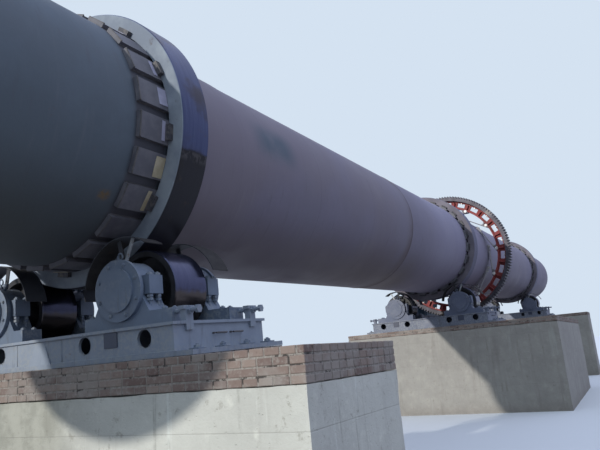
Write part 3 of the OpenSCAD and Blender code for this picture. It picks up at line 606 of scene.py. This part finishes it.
def bright_steel(name, metallic, dark, light):
    """Zinc plated bolts and turned caps, dulled and slightly rusty."""
    p = Paint(name, metallic)
    blotch = p.noise(18, 5, 0.6)
    colour = p.blend(blotch, dark, light)
    colour = p.mix(p.span(p.noise(31, 5), 0.58, 0.66, 0, 0.8), colour, (0.2, 0.12, 0.07))
    return p.finish(colour, p.span(blotch, 0.3, 0.7, 0.34, 0.55), blotch, 0.0006)


def bare_patch():
    """Bare plate, pale and dusty, with a brown bloom."""
    p = Paint("bare_patch", 0.15)
    blotch = p.noise(6, 6, 0.6)
    lilac = p.blend(blotch, (0.34, 0.34, 0.45), (0.46, 0.46, 0.59), 0.35, 0.7)
    tan = p.blend(blotch, (0.4, 0.345, 0.23), (0.56, 0.5, 0.37), 0.35, 0.7)
    height = p.plus(p.split(p.place)[2], p.times(p.noise(2.6, 2), 0.3))
    colour = p.mix(p.span(height, 3.78, 3.84, 1, 0), lilac, tan)
    return p.finish(colour, 0.55, blotch, 0.001)


def weld_metal():
    """Painted over weld bead, a little darker than the plate."""
    p = Paint("weld_metal", on_kiln=True)
    blotch = p.noise(8, 5, 0.6)
    colour = p.blend(blotch, (0.07, 0.066, 0.07), (0.125, 0.118, 0.122))
    ripple = p.noise(95, 2)
    return p.finish(colour, 0.66, ripple, 0.004)


def concrete():
    """Cast concrete with board lines, pale lime, dark damp streaks and pits."""
    p = Paint("concrete")
    x, y, z = p.split(p.place)
    big = p.noise(0.8, 7, 0.62)
    mid = p.noise(4.5, 7, 0.68, shift=(3, 1, 2))
    fine = p.noise(55, 5, 0.7)
    colour = p.blend(big, (0.47, 0.48, 0.455), (0.6, 0.615, 0.58), 0.35, 0.66)
    colour = p.over(colour, (0.7, 0.715, 0.665), mid, 0.55, 0.72, 0.7)
    colour = p.mix(p.span(mid, 0.22, 0.4, 0.55, 0), colour, (0.35, 0.35, 0.33))
    damp = p.noise(1.6, 6, 0.6, stretch=(2.2, 2.2, 0.35), shift=(6, 2, 1))
    colour = p.over(colour, (0.285, 0.272, 0.255), damp, 0.55, 0.72, 0.55)
    drip = p.noise(2.0, 6, 0.65, stretch=(5, 5, 0.22), shift=(1, 6, 3))
    drip = p.times(p.span(drip, 0.56, 0.68, 0, 0.6), p.span(mid, 0.42, 0.58))
    colour = p.mix(drip, colour, (0.225, 0.228, 0.205))
    spots = p.noise(9, 7, 0.72, shift=(7, 3, 4))
    colour = p.over(colour, (0.235, 0.225, 0.19), spots, 0.58, 0.68, 0.55)
    lime = p.noise(2.4, 5, 0.6, stretch=(4, 4, 0.3), shift=(4, 8, 1))
    colour = p.over(colour, (0.72, 0.76, 0.735), lime, 0.6, 0.72, 0.6)
    aged = p.plus(y, p.times(p.minus(big, 0.5), 1.4))
    aged = p.times(p.span(aged, -1.05, -0.35), p.span(x, 4.0, 8.0, 0.85, 0))
    grey = p.blend(mid, (0.275, 0.278, 0.24), (0.385, 0.39, 0.345), 0.38, 0.6)
    colour = p.mix(aged, colour, grey)
    low = p.span(z, 0.0, 0.35, 0.5, 0)
    colour = p.mix(low, colour, (0.25, 0.232, 0.2))
    # Darker, warmer concrete on the piers uphill.
    uphill_tone = p.blend(mid, (0.2, 0.182, 0.172), (0.262, 0.24, 0.226))
    colour = p.over(colour, uphill_tone, x, 4.0, 8.0, 0.66)
    lift = p.math("FRACT", p.math("DIVIDE", p.plus(z, 0.25), 0.6))
    off = p.math("ABSOLUTE", p.minus(lift, 0.5))
    line = p.times(p.span(off, 0.0, 0.012, 1, 0), 0.25)
    colour = p.mix(line, colour, (0.2, 0.19, 0.18))
    pits = p.add("ShaderNodeTexVoronoi")
    p.put(p.place, pits.inputs["Vector"])
    pits.inputs["Scale"].default_value = 22
    hole = p.span(pits.outputs["Distance"], 0.05, 0.16)
    grains = p.plus(p.times(fine, 0.5), p.times(mid, 1.4))
    relief = p.minus(p.plus(p.times(hole, 0.6), grains), line)
    return p.finish(colour, p.span(mid, 0.3, 0.7, 0.78, 0.93), relief, 0.006)


def brick():
    """Rough brick, each with a tone of its own, dusty with mortar."""
    p = Paint("brick")
    tone = p.add("ShaderNodeAttribute", attribute_name="tone").outputs["Fac"]
    grain = p.noise(24, 7, 0.7)
    cloud = p.noise(2.2, 5, 0.6)
    colour = p.mix(tone, (0.15, 0.104, 0.094), (0.275, 0.218, 0.192))
    colour = p.over(colour, (0.32, 0.295, 0.275), grain, 0.48, 0.68, 0.6)
    colour = p.mix(p.span(grain, 0.25, 0.42, 0.5, 0), colour, (0.13, 0.088, 0.076))
    colour = p.over(colour, (0.315, 0.3, 0.285), cloud, 0.46, 0.64, 0.6)
    return p.finish(colour, 0.88, grain, 0.005)


def mortar():
    """Mortar with dark stretches, painted shade standing in for open gaps."""
    p = Paint("mortar")
    grain = p.noise(40, 6, 0.7)
    # Painted shade: near-black stretches where the mortar would be open.
    gap_shade = p.noise(9, 5, 0.7, shift=(5, 2, 8))
    colour = p.blend(grain, (0.215, 0.195, 0.18), (0.35, 0.33, 0.31), 0.3, 0.7)
    colour = p.over(colour, (0.04, 0.034, 0.032), gap_shade, 0.53, 0.6, 0.9)
    return p.finish(colour, 0.92, grain, 0.005)


# Meshes
class Batch:
    """Many small solids gathered in one mesh, given in the places of one matrix."""

    def __init__(self, matrix=None):
        self.mesh = bmesh.new()
        self.base = matrix if matrix is not None else Matrix.Identity(4)

    def bevelled_box(self, centre, size, bevel, turn=None):
        """Box with chamfered edges."""
        matrix = self.base @ Matrix.Translation(centre)
        if turn is not None:
            matrix = matrix @ turn
        matrix = matrix @ Matrix.Diagonal((*size, 1))
        made = bmesh.ops.create_cube(self.mesh, size=1, matrix=matrix)
        edges = dict.fromkeys(edge for vert in made["verts"] for edge in vert.link_edges)
        bmesh.ops.bevel(self.mesh, geom=list(edges), offset=bevel, segments=1, affect="EDGES")

    def ring(self, matrix, z, radius, sides):
        """New points around the matrix's Z."""
        points = []
        for i in range(sides):
            a = 2 * math.pi * i / sides
            place = Vector((radius * math.cos(a), radius * math.sin(a), z))
            points.append(self.mesh.verts.new(matrix @ place))
        return points

    def skin(self, rings, closed=False):
        """Faces from each ring to the next, and over both ends or back to the first ring."""
        following = rings[1:] + rings[:1] if closed else rings[1:]
        for a, b in zip(rings, following):
            for i in range(len(a)):
                j = (i + 1) % len(a)
                self.mesh.faces.new((a[i], a[j], b[j], b[i]))
        if not closed:
            self.mesh.faces.new(rings[0][::-1])
            self.mesh.faces.new(rings[-1])

    def lathe(self, matrix, profile, sides, closed=False):
        """Turns (height, radius) points about the matrix's Z."""
        full = self.base @ matrix
        self.skin([self.ring(full, z, r, sides) for z, r in profile], closed)

    def bolt(self, place, direction, size, turn=0.0):
        """Washer, chamfered hexagon head and shank end."""
        matrix = facing(place, direction) @ Matrix.Rotation(turn, 4, "Z")
        for sides, profile in BOLT_PARTS:
            self.lathe(matrix, [(size * z, size * r) for z, r in profile], sides)

    def bead(self, points, radius, sides):
        """Weld bead or rod along a line of points."""
        rings = []
        for i, point in enumerate(points):
            ahead = points[min(i + 1, len(points) - 1)] - points[max(i - 1, 0)]
            rings.append(self.ring(self.base @ facing(point, ahead), 0, radius, sides))
        self.skin(rings)

    def done(self, name, look, body="foundation", smooth=False):
        """Makes the batch one piece with a look of MATS, which rides on a body."""
        data = bpy.data.meshes.new(name)
        bmesh.ops.recalc_face_normals(self.mesh, faces=self.mesh.faces)
        self.mesh.to_mesh(data)
        self.mesh.free()
        if smooth:
            data.shade_smooth()
        piece = new_object(name, data)
        data.materials.append(MATS[look])
        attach(piece, body)
        return piece


def facing(place, direction):
    """Matrix at place whose Z is direction."""
    z = Vector(direction).normalized()
    x = z.orthogonal().normalized()
    turn = Matrix((x, z.cross(x), z)).transposed().to_4x4()
    return Matrix.Translation(place) @ turn


def around(u, y, w, r, a):
    """Kiln place at radius r about (y, w), at angle a from +y towards +w."""
    return Vector((u, y + r * math.cos(a), w + r * math.sin(a)))


def polar(u, r, degrees):
    """Kiln place at radius r about the kiln's axis."""
    return around(u, 0, 0, r, math.radians(degrees))


def loop(u, y, w, r, steps, start=0.0):
    """Places all round (y, w), ending where they start."""
    return [around(u, y, w, r, start + 2 * math.pi * step / steps) for step in range(steps + 1)]


def turned(degrees):
    """Turn about the kiln's axis."""
    return Matrix.Rotation(math.radians(degrees), 4, "X")


def along_axis(u):
    """Matrix on the kiln's axis at u whose Z runs uphill."""
    return Matrix.Translation((u, 0, 0)) @ ALONG


# Shell and rings
def dress_shell():
    """Weld beads of the round seams, and slopes at the ends of the thick plates."""
    beads = Batch(KILN)
    for u in SEAMS:
        half, height = ROUGH_BEAD if u == SEAM_U else PLAIN_BEAD
        beads.lathe(along_axis(u), bead_profile(half, height), 180, closed=True)
    beads.done("shell_weld_beads", "shell", "kiln", smooth=True)
    tapers = Batch(KILN)
    for u, end in THICK_ENDS:
        tapers.lathe(along_axis(u), taper_profile(end), 240, closed=True)
    piece = tapers.done("thick_plate_tapers", "shell", "kiln", smooth=True)
    piece.data.set_sharp_from_angle(angle=math.radians(20))


def bead_profile(half, height):
    """Low rounded band on the shell."""
    points = [(-1, -0.001), (-0.6, height * 0.8), (0, height), (0.6, height * 0.8), (1, -0.001)]
    return [(half * along, SHELL_R + up) for along, up in points]


def taper_profile(end):
    """Eased slope from the thick plate's outside down into the plain shell."""
    foot, top = SHELL_R - 0.002, THICK_R + 0.0002
    drop = THICK_R - SHELL_R + 0.0006
    points = [(-end * TAPER_LAP, foot), (-end * TAPER_LAP, top)]
    for step in range(TAPER_STEPS + 1):
        part = step / TAPER_STEPS
        eased = part * part * (3 - 2 * part)
        points.append((end * TAPER_L * part, top - drop * eased))
    return points + [(end * TAPER_L, foot)]


def dress_pads():
    """Bare shims, end bars and weld beads on the pads of the rings."""
    shims = Batch(KILN)
    bars = Batch(KILN)
    for station in STATIONS:
        first = station == STATIONS[0]
        edge = station - TYRE_HALF
        low = edge - (FIRST_PAD_REACH if first else PAD_REACH)
        for i in range(PAD_COUNT):
            turn = (i + 0.5) * 360 / PAD_COUNT
            if first:
                place = polar(low + 0.01, TYRE_BORE - 0.003, turn)
                bars.bevelled_box(place, PAD_BAR, 0.003, turned(turn + 90))
            for side in (-1, 1):
                angle = turn + side * PAD_WELD_ANGLE
                line = [polar(u, PAD_WELD_R, angle) for u in (low + 0.01, edge - 0.004)]
                bars.bead(line, 0.007, 5)
            if first and (rng.random() < SHIM_SHARE or i in SHIMMED):
                add_shim(shims, edge, turn, blocked=i % 2 == 0)
    shims.done("pad_shims", "bare", "kiln")
    bars.done("pad_bars_and_welds", "weld", "kiln")


def add_shim(shims, edge, turn, blocked):
    """Bare plate on a pad before the ring's edge, short where a stop block takes its place."""
    length = rng.uniform(0.03, 0.06) if blocked else rng.uniform(0.11, 0.15)
    start = edge - (BLOCKED_START if blocked else OPEN_START)
    place = polar(start - length / 2, SHIM_R, turn + rng.uniform(-0.4, 0.4))
    size = (length, rng.uniform(0.17, 0.21), SHIM_T)
    shims.bevelled_box(place, size, 0.001, turned(turn + 90))


# Roller stations
def dress_housings():
    """Bolts, studs, eye bolts and oil caps on the roller housings."""
    bolts = Batch(KILN)
    fittings = Batch(KILN)
    for station, side in STATION_ENDS:
        for end in (-1, 1):
            mid = station + end * HOUSING_MID_U
            cover_bolts(bolts, station + end * COVER_FACE_U, side * ROLLER_Y, end)
            housing_studs(bolts, mid, side)
            housing_fittings(fittings, mid, side, end)
    bolts.done("housing_bolts", "housing")
    fittings.done("housing_fittings", "housing", smooth=True)


def cover_bolts(bolts, face, y, end):
    """Ring of bolts on a round cover."""
    for k in range(COVER_BOLTS):
        a = 2 * math.pi * (k + 0.5) / COVER_BOLTS
        bolts.bolt(around(face, y, ROLLER_W, COVER_BOLT_R, a), (end, 0, 0), 0.0165, a)


def housing_studs(bolts, mid, side):
    """Long studs through the side lugs, with nuts below and heads on top, and bolts through the foot."""
    for out in (-STUD_OUT, STUD_OUT):
        for u in (mid - STUD_ALONG, mid + STUD_ALONG):
            y = side * ROLLER_Y + out
            bolts.lathe(facing((u, y, LUG_LOW - STUD_L), UP), STUD, 12)
            for drop in NUT_DROPS:
                bolts.lathe(facing((u, y, LUG_LOW - drop), UP), NUT, 6)
            bolts.bolt((u, y, LUG_TOP), UP, 0.028, 0.3)
    for out, along in FOOT_BOLTS:
        bolts.bolt((mid + along, side * (ROLLER_Y + out), FOOT_TOP), UP, 0.026, 0.2)


def housing_fittings(fittings, mid, side, end):
    """Eye bolt and oil cap on top of a housing."""
    eye, cap = [
        Vector((mid + end * along, side * (ROLLER_Y - inward), ROLLER_W + up))
        for along, inward, up in (EYE_FOOT, CAP_FOOT)
    ]
    fittings.lathe(facing(eye, UP), EYE_BOSS, 16)
    fittings.bead(loop(eye.x, eye.y, eye.z + EYE_UP, EYE_R, 16, -math.pi / 2), 0.008, 8)
    fittings.lathe(facing(cap, (0, -side * 0.3, 1)), OIL_CAP, 14)


def dress_guards():
    """Bright flat stays from the housings up to the guards, each with a bolt at its foot."""
    stays = Batch(KILN)
    for station, side in STATION_ENDS:
        foot, head = [stay_end(station - STAY_U, side, r, a) for r, a in (STAY_FOOT, STAY_HEAD)]
        ahead = head - foot
        turn = Matrix.Rotation(math.atan2(-ahead.y, ahead.z), 4, "X")
        stays.bevelled_box((foot + head) / 2, (STAY_W, STAY_T, ahead.length), 0.001, turn)
        place = foot + ahead * STAY_BOLT_PART - Vector((STAY_W / 2, 0, 0))
        stays.bolt(place, (-1, 0, 0), 0.012)
    stays.done("guard_stays", "stay")


def stay_end(u, side, r, degrees):
    """Kiln place about a roller's axis, at an angle from its outer side upwards."""
    a = math.radians(degrees)
    return Vector((u, side * (ROLLER_Y + r * math.cos(a)), ROLLER_W + r * math.sin(a)))


def dress_beds():
    """Cover plates, welds, hold down bolts and rod hooks on the beds."""
    plates = Batch(KILN)
    hooks = Batch(KILN)
    welds = Batch(KILN)
    bolts = Batch(KILN)
    for station, way in STATION_ENDS:
        web = station + way * (BED_L / 2 - WEB_IN)
        web_plates(plates, welds, web, way)
        web_welds(welds, web, way)
        bed_end(hooks, bolts, station, way)
    plates.done("bed_plates", "plate")
    hooks.done("bed_hooks", "weld")
    welds.done("bed_weld_beads", "bed", smooth=True)
    bolts.done("bed_hold_down_bolts", "housing")


def web_plates(plates, welds, web, end):
    """Plates between a web's holes, and beads round the holes."""
    for side in (-1, 1):
        place = (web + end * 0.005, side * (HOLE_MIDDLE - 0.03), HOLE_W + 0.02)
        plates.bevelled_box(place, COVER_PLATE, 0.002)
        for off in (-HOLE_OFF, HOLE_OFF):
            welds.bead(loop(web, side * HOLE_MIDDLE + off, HOLE_W, HOLE_RING_R, 24), 0.003, 5)


def web_welds(welds, web, end):
    """Long beads under the top plate and on the bottom plate, and upright ones between them."""
    half = BED_HALF - WEB_IN - 0.01
    for w in LONG_WELDS_W:
        line = []
        for step in range(LONG_WELD_STEPS + 1):
            y = half * (2 * step / LONG_WELD_STEPS - 1)
            line.append(Vector((web + end * 0.001, y, w + rng.uniform(-0.001, 0.001))))
        welds.bead(line, 0.006, 5)
    for y in UPRIGHT_WELDS_Y:
        line = [Vector((web + end * 0.0005, y, w)) for w in (BED_TOP - 0.03, SOLE_TOP)]
        welds.bead(line, 0.004, 5)


def bed_end(hooks, bolts, station, side):
    """Rod hooks on the bed's end plate, and bolts with square washers on the bottom plate's end."""
    y = side * (BED_HALF - WEB_IN)
    for along in HOOKS_U:
        rod = [Vector((station + along + a, y + side * b, HOLE_W)) for a, b in HOOK]
        hooks.bead(rod, 0.008, 8)
    thick = SQUARE_WASHER[2]
    for along in SOLE_BOLTS_U:
        place = Vector((station + along, side * (SOLE_HALF - 0.075), SOLE_TOP))
        bolts.bevelled_box(place + Vector((0, 0, thick / 2)), SQUARE_WASHER, 0.002)
        bolts.bolt(place + Vector((0, 0, thick)), UP, 0.03, along)


# Gear and drive
def dress_gear():
    """Bolts on the spring plates' seats and tips and through the web, and caps on their pins."""
    bolts = Batch(KILN)
    pins = Batch(KILN)
    for i in range(SEAT_COUNT):
        spin = turned(360 / SEAT_COUNT * i)
        radial = spin @ Vector((0, 1, 0))
        for places, turn in ((SEAT_BOLTS, 0.3 * i), (TIP_BOLTS, 0.2 * i)):
            for along, w in places:
                bolts.bolt(spin @ Vector((GEAR_U + along, SEAT_TOP, w)), radial, 0.024, turn)
        for end in (-1, 1):
            place = spin @ Vector((GEAR_U + end * PIN_U, *PIN_PLACE))
            pins.lathe(facing(place, (end, 0, 0)), PIN_CAP, 20)
    for i in range(WEB_BOLTS):
        for end in (-1, 1):
            place = polar(GEAR_U + end * WEB_HALF, WEB_BOLT_R, 360 / WEB_BOLTS * (i + 0.5))
            bolts.bolt(place, (end, 0, 0), 0.02, 0.2 * i)
    bolts.done("gear_bolts", "bright", "kiln")
    pins.done("gear_pin_caps", "pin", "kiln")


def dress_drive():
    """Bolts on the reducer's joint and feet, and on the motor's end cover."""
    bolts = Batch(KILN)
    low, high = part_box("reducer")
    y = (low.y + high.y) / 2
    for side in (-1, 1):
        for count, first, pitch, out, up, size in REDUCER_ROWS:
            for k in range(count):
                place = (REDUCER_U + first + k * pitch, y + side * out, DRIVE_W + up)
                bolts.bolt(place, UP, size, 0.1 * k)
    for k in range(MOTOR_BOLTS):
        a = 2 * math.pi * k / MOTOR_BOLTS
        bolts.bolt(around(MOTOR_END_U, y, DRIVE_W, MOTOR_BOLT_R, a), (1, 0, 0), 0.012, a)
    bolts.done("drive_bolts", "bright")


# Piers
def brick_courses(number, courses):
    """Bricks around and on top of a course, over a mortar core."""
    low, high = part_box(f"brick_course_{number}")
    size = (high.x - low.x, high.y - low.y, courses * COURSE_H)
    whole = Vector(size)
    base = Matrix.Translation(low)
    core = Batch(base)
    core.bevelled_box(whole / 2 - Vector((0, 0, 0.002)), whole - Vector((0.016, 0.016, 0.004)), 0.003)
    core.done(f"mortar_core_{number}", "mortar")
    bricks = Batch(base)
    tones = []
    for k in range(courses):
        for spans in brick_spans(size, k, k == courses - 1):
            before = len(bricks.mesh.faces)
            lay_brick(bricks, spans, size)
            tones += [rng.random()] * (len(bricks.mesh.faces) - before)
    piece = bricks.done(f"bricks_{number}", "brick")
    tone = piece.data.attributes.new("tone", "FLOAT", "FACE")
    tone.data.foreach_set("value", tones)
    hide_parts(f"brick_course_{number}")
    seat_wedges(number, low.z + size[2])


def brick_spans(size, k, top):
    """(low, high) in x, y and z of the bricks of course k: all of the top one, only the outer of others."""
    width, depth, _ = size
    rows = round(width / BRICK_X)
    pitch = STRETCHER if k % 3 == 1 else HEADER
    for i in range(rows):
        shift = pitch / 2 if (i + k) % 2 else 0.0
        for j in range(math.ceil((depth + shift) / pitch)):
            y_low = max(0.0, j * pitch - shift)
            y_high = min(depth, (j + 1) * pitch - shift)
            outer = i in (0, rows - 1) or y_low < NEAR_EDGE or y_high > depth - NEAR_EDGE
            if (outer or top) and y_high - y_low >= SHORTEST_BRICK:
                x_span = (i * width / rows, (i + 1) * width / rows)
                yield x_span, (y_low, y_high), (k * COURSE_H, (k + 1) * COURSE_H)


def lay_brick(bricks, spans, size):
    """One brick with its joints, slightly turned and worn, and moved out where the course ends."""
    centre = Vector([(low + high) / 2 for low, high in spans])
    for axis, lap in enumerate((0.002, 0.002, 0.001)):
        low, high = spans[axis]
        if low < NEAR_EDGE:
            centre[axis] -= JOINT / 2 - lap
        elif high > size[axis] - NEAR_EDGE:
            centre[axis] += JOINT / 2 - lap
    tilt = Matrix.Rotation(rng.uniform(-0.006, 0.006), 4, "Z")
    inset = rng.uniform(0, 0.004)
    worn = Vector((inset, inset, rng.uniform(0, 0.003)))
    whole = Vector([high - low - JOINT for low, high in spans])
    bricks.bevelled_box(centre, whole - worn, 0.004, tilt)


def seat_wedges(number, level):
    """Mortar wedges between the level courses and what stands on them at the kiln's slope."""
    station = STATIONS[number - 1]
    spans = [(station - BED_L / 2, station + BED_L / 2, -SOLE_HALF, SOLE_HALF)]
    if number == 2:
        low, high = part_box("drive_base")
        spans.append((*BASE_SPAN, low.y, high.y))
    batch = Batch()
    for u_low, u_high, y_low, y_high in spans:
        made = bmesh.ops.create_cube(batch.mesh, size=1)
        for vert in made["verts"]:
            u = u_low + WEDGE_IN if vert.co.x < 0 else u_high - WEDGE_IN
            y = y_low + WEDGE_IN if vert.co.y < 0 else y_high - WEDGE_IN
            top = KILN @ Vector((u, y, BED_LOW - WEDGE_GAP))
            vert.co = (top.x, top.y, top.z if vert.co.z > 0 else level - WEDGE_IN)
    rough_edges(batch.mesh)
    batch.done(f"mortar_wedges_{number}", "mortar")


def rough_edges(mesh):
    """Cuts the long sides up and pushes their points down a little."""
    long_edges = [edge for edge in mesh.edges if edge.calc_length() > LONG_EDGE]
    bmesh.ops.subdivide_edges(mesh, edges=long_edges, cuts=31, use_grid_fill=True)
    for vert in mesh.verts:
        vert.co.z -= 0.0012 * (1 + noise.noise(vert.co * 9.0))


def cast_pier(number):
    """Cast block over the CAD pier: edges chipped and faces slightly uneven, all inward."""
    low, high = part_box(f"pier_{number}")
    size = (high.x - low.x, high.y - low.y, high.z)
    batch = Batch()
    cut_block(batch.mesh, size)
    for vert in batch.mesh.verts:
        x, y, z = vert.co
        place = Vector((low.x + x * size[0], low.y + y * size[1], z * size[2]))
        on_x, on_y, on_z = [min(v, 1 - v) < 1e-5 for v in (x, y, z)]
        push = UNEVEN * (1 + noise.noise(place * 1.7))
        if on_x + on_y + on_z > 1 and not (on_z and z < 0.5):
            push += CHIP * max(0.0, noise.noise(place * 6.0) + 0.35)
        inward = Vector((
            (1 if x < 0.5 else -1) if on_x else 0,
            (1 if y < 0.5 else -1) if on_y else 0,
            -1 if on_z and z > 0.5 else 0,
        ))
        vert.co = place + inward * push
    piece = batch.done(f"cast_pier_{number}", "concrete")
    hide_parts(f"pier_{number}")


def cut_block(mesh, size):
    """Unit cube from the origin, cut as a block of that size needs it."""
    made = bmesh.ops.create_cube(mesh, size=1)
    bmesh.ops.transform(mesh, matrix=Matrix.Translation((0.5, 0.5, 0.5)), verts=made["verts"])
    for axis, length in enumerate(size):
        cuts = max(2, round(length / CAST_STEP))
        normal = Vector([1 if k == axis else 0 for k in range(3)])
        for i in range(1, cuts):
            whole = mesh.verts[:] + mesh.edges[:] + mesh.faces[:]
            bmesh.ops.bisect_plane(mesh, geom=whole, plane_co=normal * (i / cuts), plane_no=normal)


# Studio
def studio_floor():
    """Wide pale floor, which the camera sees lighter than the object does."""
    mesh = bpy.data.meshes.new("floor")
    reach = 400.0
    corners = [(-reach, -reach, 0), (reach, -reach, 0), (reach, reach, 0), (-reach, reach, 0)]
    mesh.from_pydata(corners, [], [(0, 1, 2, 3)])
    floor = new_object("floor", mesh)
    p = Paint("floor")
    rays = p.add("ShaderNodeLightPath")
    seen = p.math("MAXIMUM", rays.outputs["Is Camera Ray"], rays.outputs["Is Glossy Ray"])
    p.finish(p.mix(seen, (0.175, 0.16, 0.15), (0.66, 0.69, 0.72)), 0.95)
    p.shader.inputs["Specular IOR Level"].default_value = 0.0
    mesh.materials.append(p.mat)


def studio_world():
    """Pale backdrop for the camera, and soft sky light for all else.

    The sky is brighter overhead, and a little greener from the discharge end.
    """
    world = bpy.data.worlds.new("studio")
    bpy.context.scene.world = world
    p = Nodes(world)
    x, _, z = p.split(p.add("ShaderNodeTexCoord").outputs["Generated"])
    light = p.nodes["Background"]
    p.put(p.span(z, 0.0, 0.8, 0.5, 1.15, "LINEAR"), light.inputs["Strength"])
    downhill = p.span(x, -0.7, 0.1, way="LINEAR")
    p.put(p.mix(downhill, (0.82, 0.96, 1.09), (0.73, 0.81, 1.08)), light.inputs["Color"])
    view = p.add("ShaderNodeBackground")
    set_inputs(view, {"Color": (0.66, 0.76, 0.88, 1), "Strength": 1.0})
    rays = p.add("ShaderNodeLightPath").outputs
    mix = p.add("ShaderNodeMixShader")
    p.put(p.math("MAXIMUM", rays["Is Camera Ray"], rays["Is Transmission Ray"]), mix.inputs["Fac"])
    p.put(light.outputs[0], mix.inputs[1])
    p.put(view.outputs[0], mix.inputs[2])
    p.put(mix.outputs[0], p.nodes["World Output"].inputs["Surface"])


def studio_lamp_and_camera():
    """Key light, and the camera at the photograph's view."""
    sun = bpy.data.lights.new("key", "SUN")
    sun.energy = 2.6
    sun.angle = math.radians(1.1)
    sun.color = (1.0, 0.96, 0.88)
    lamp = new_object("key", sun)
    lamp.rotation_euler = Vector(SUN_WAY).to_track_quat("-Z", "Y").to_euler()
    camera = new_object("camera", bpy.data.cameras.new("camera"))
    camera.data.lens = LENS
    camera.data.sensor_width = SENSOR
    camera.data.clip_end = 1000
    camera.matrix_world = Matrix.Translation(CAMERA_AT) @ camera_turn().to_4x4()
    bpy.context.scene.camera = camera
    bpy.context.scene.view_settings.view_transform = "Standard"


# Looks of the CAD nodes by a part of their names, where the first that fits counts
NODE_MATS = {
    "shell_": "shell", "feed_end": "shell", "nose_ring": "shell", "tyre_pads": "pads", "tyre_": "ring",
    "roller_guards": "guard", "_near": "roller_near", "_far": "roller_far",
    "bed_": "bed", "drive_base": "bed", "bearings": "housing", "pier_": "concrete", "brick_": "brick",
    "reducer": "drive", "motor": "drive", "coupling_guard": "yellow",
    "gear_web": "red", "spring_plates": "spring", "": "gear",
}


def paint_nodes():
    """Gives every CAD node its material."""
    for name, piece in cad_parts.items():
        key = next(key for part, key in NODE_MATS.items() if part in name)
        piece.data.materials.clear()
        piece.data.materials.append(MATS[key])


studio_floor()
studio_world()
studio_lamp_and_camera()
MATS = {
    "shell": shell_paint(),
    "ring": ring_paint(),
    "pads": pad_steel(),
    "spring": spring_steel(),
    "bed": machine_paint(
        "bed_paint", (0.198, 0.238, 0.312), (0.252, 0.296, 0.372), (0.4, 0.415, 0.43),
        uphill_shade=(0.112, 0.128, 0.192)),
    "housing": machine_paint(
        "housing_paint", (0.12, 0.158, 0.228), (0.156, 0.2, 0.276), (0.25, 0.28, 0.32),
        uphill_shade=(0.088, 0.104, 0.172)),
    "guard": guard_paint(),
    "drive": machine_paint("drive_paint", (0.045, 0.105, 0.165), (0.075, 0.15, 0.22), (0.24, 0.26, 0.27)),
    "yellow": machine_paint("guard_yellow", (0.42, 0.27, 0.035), (0.55, 0.37, 0.06), (0.42, 0.38, 0.3)),
    "plate": machine_paint(
        "plate_paint", (0.034, 0.044, 0.08), (0.048, 0.06, 0.102), (0.06, 0.07, 0.11), edge=0.0),
    "roller_near": roller_steel("roller_steel_near", -1, 0.1),
    # Far rollers darkened as painted shade.
    "roller_far": roller_steel("roller_steel_far", 1, 0.6),
    "gear": gear_steel(),
    "red": gear_red(),
    "bright": bright_steel("bright_steel", 0.7, (0.3, 0.3, 0.3), (0.52, 0.52, 0.5)),
    "pin": bright_steel("pin_steel", 0.1, (0.46, 0.46, 0.47), (0.74, 0.74, 0.73)),
    "stay": bright_steel("stay_steel", 0.1, (0.26, 0.28, 0.31), (0.38, 0.4, 0.43)),
    "bare": bare_patch(),
    "weld": weld_metal(),
    "concrete": concrete(),
    "brick": brick(),
    "mortar": mortar(),
}
paint_nodes()
dress_shell()
dress_pads()
dress_housings()
dress_guards()
dress_beds()
dress_gear()
dress_drive()
for number, courses in ((1, 4), (2, 2), (3, 2)):
    brick_courses(number, courses)
    cast_pier(number)
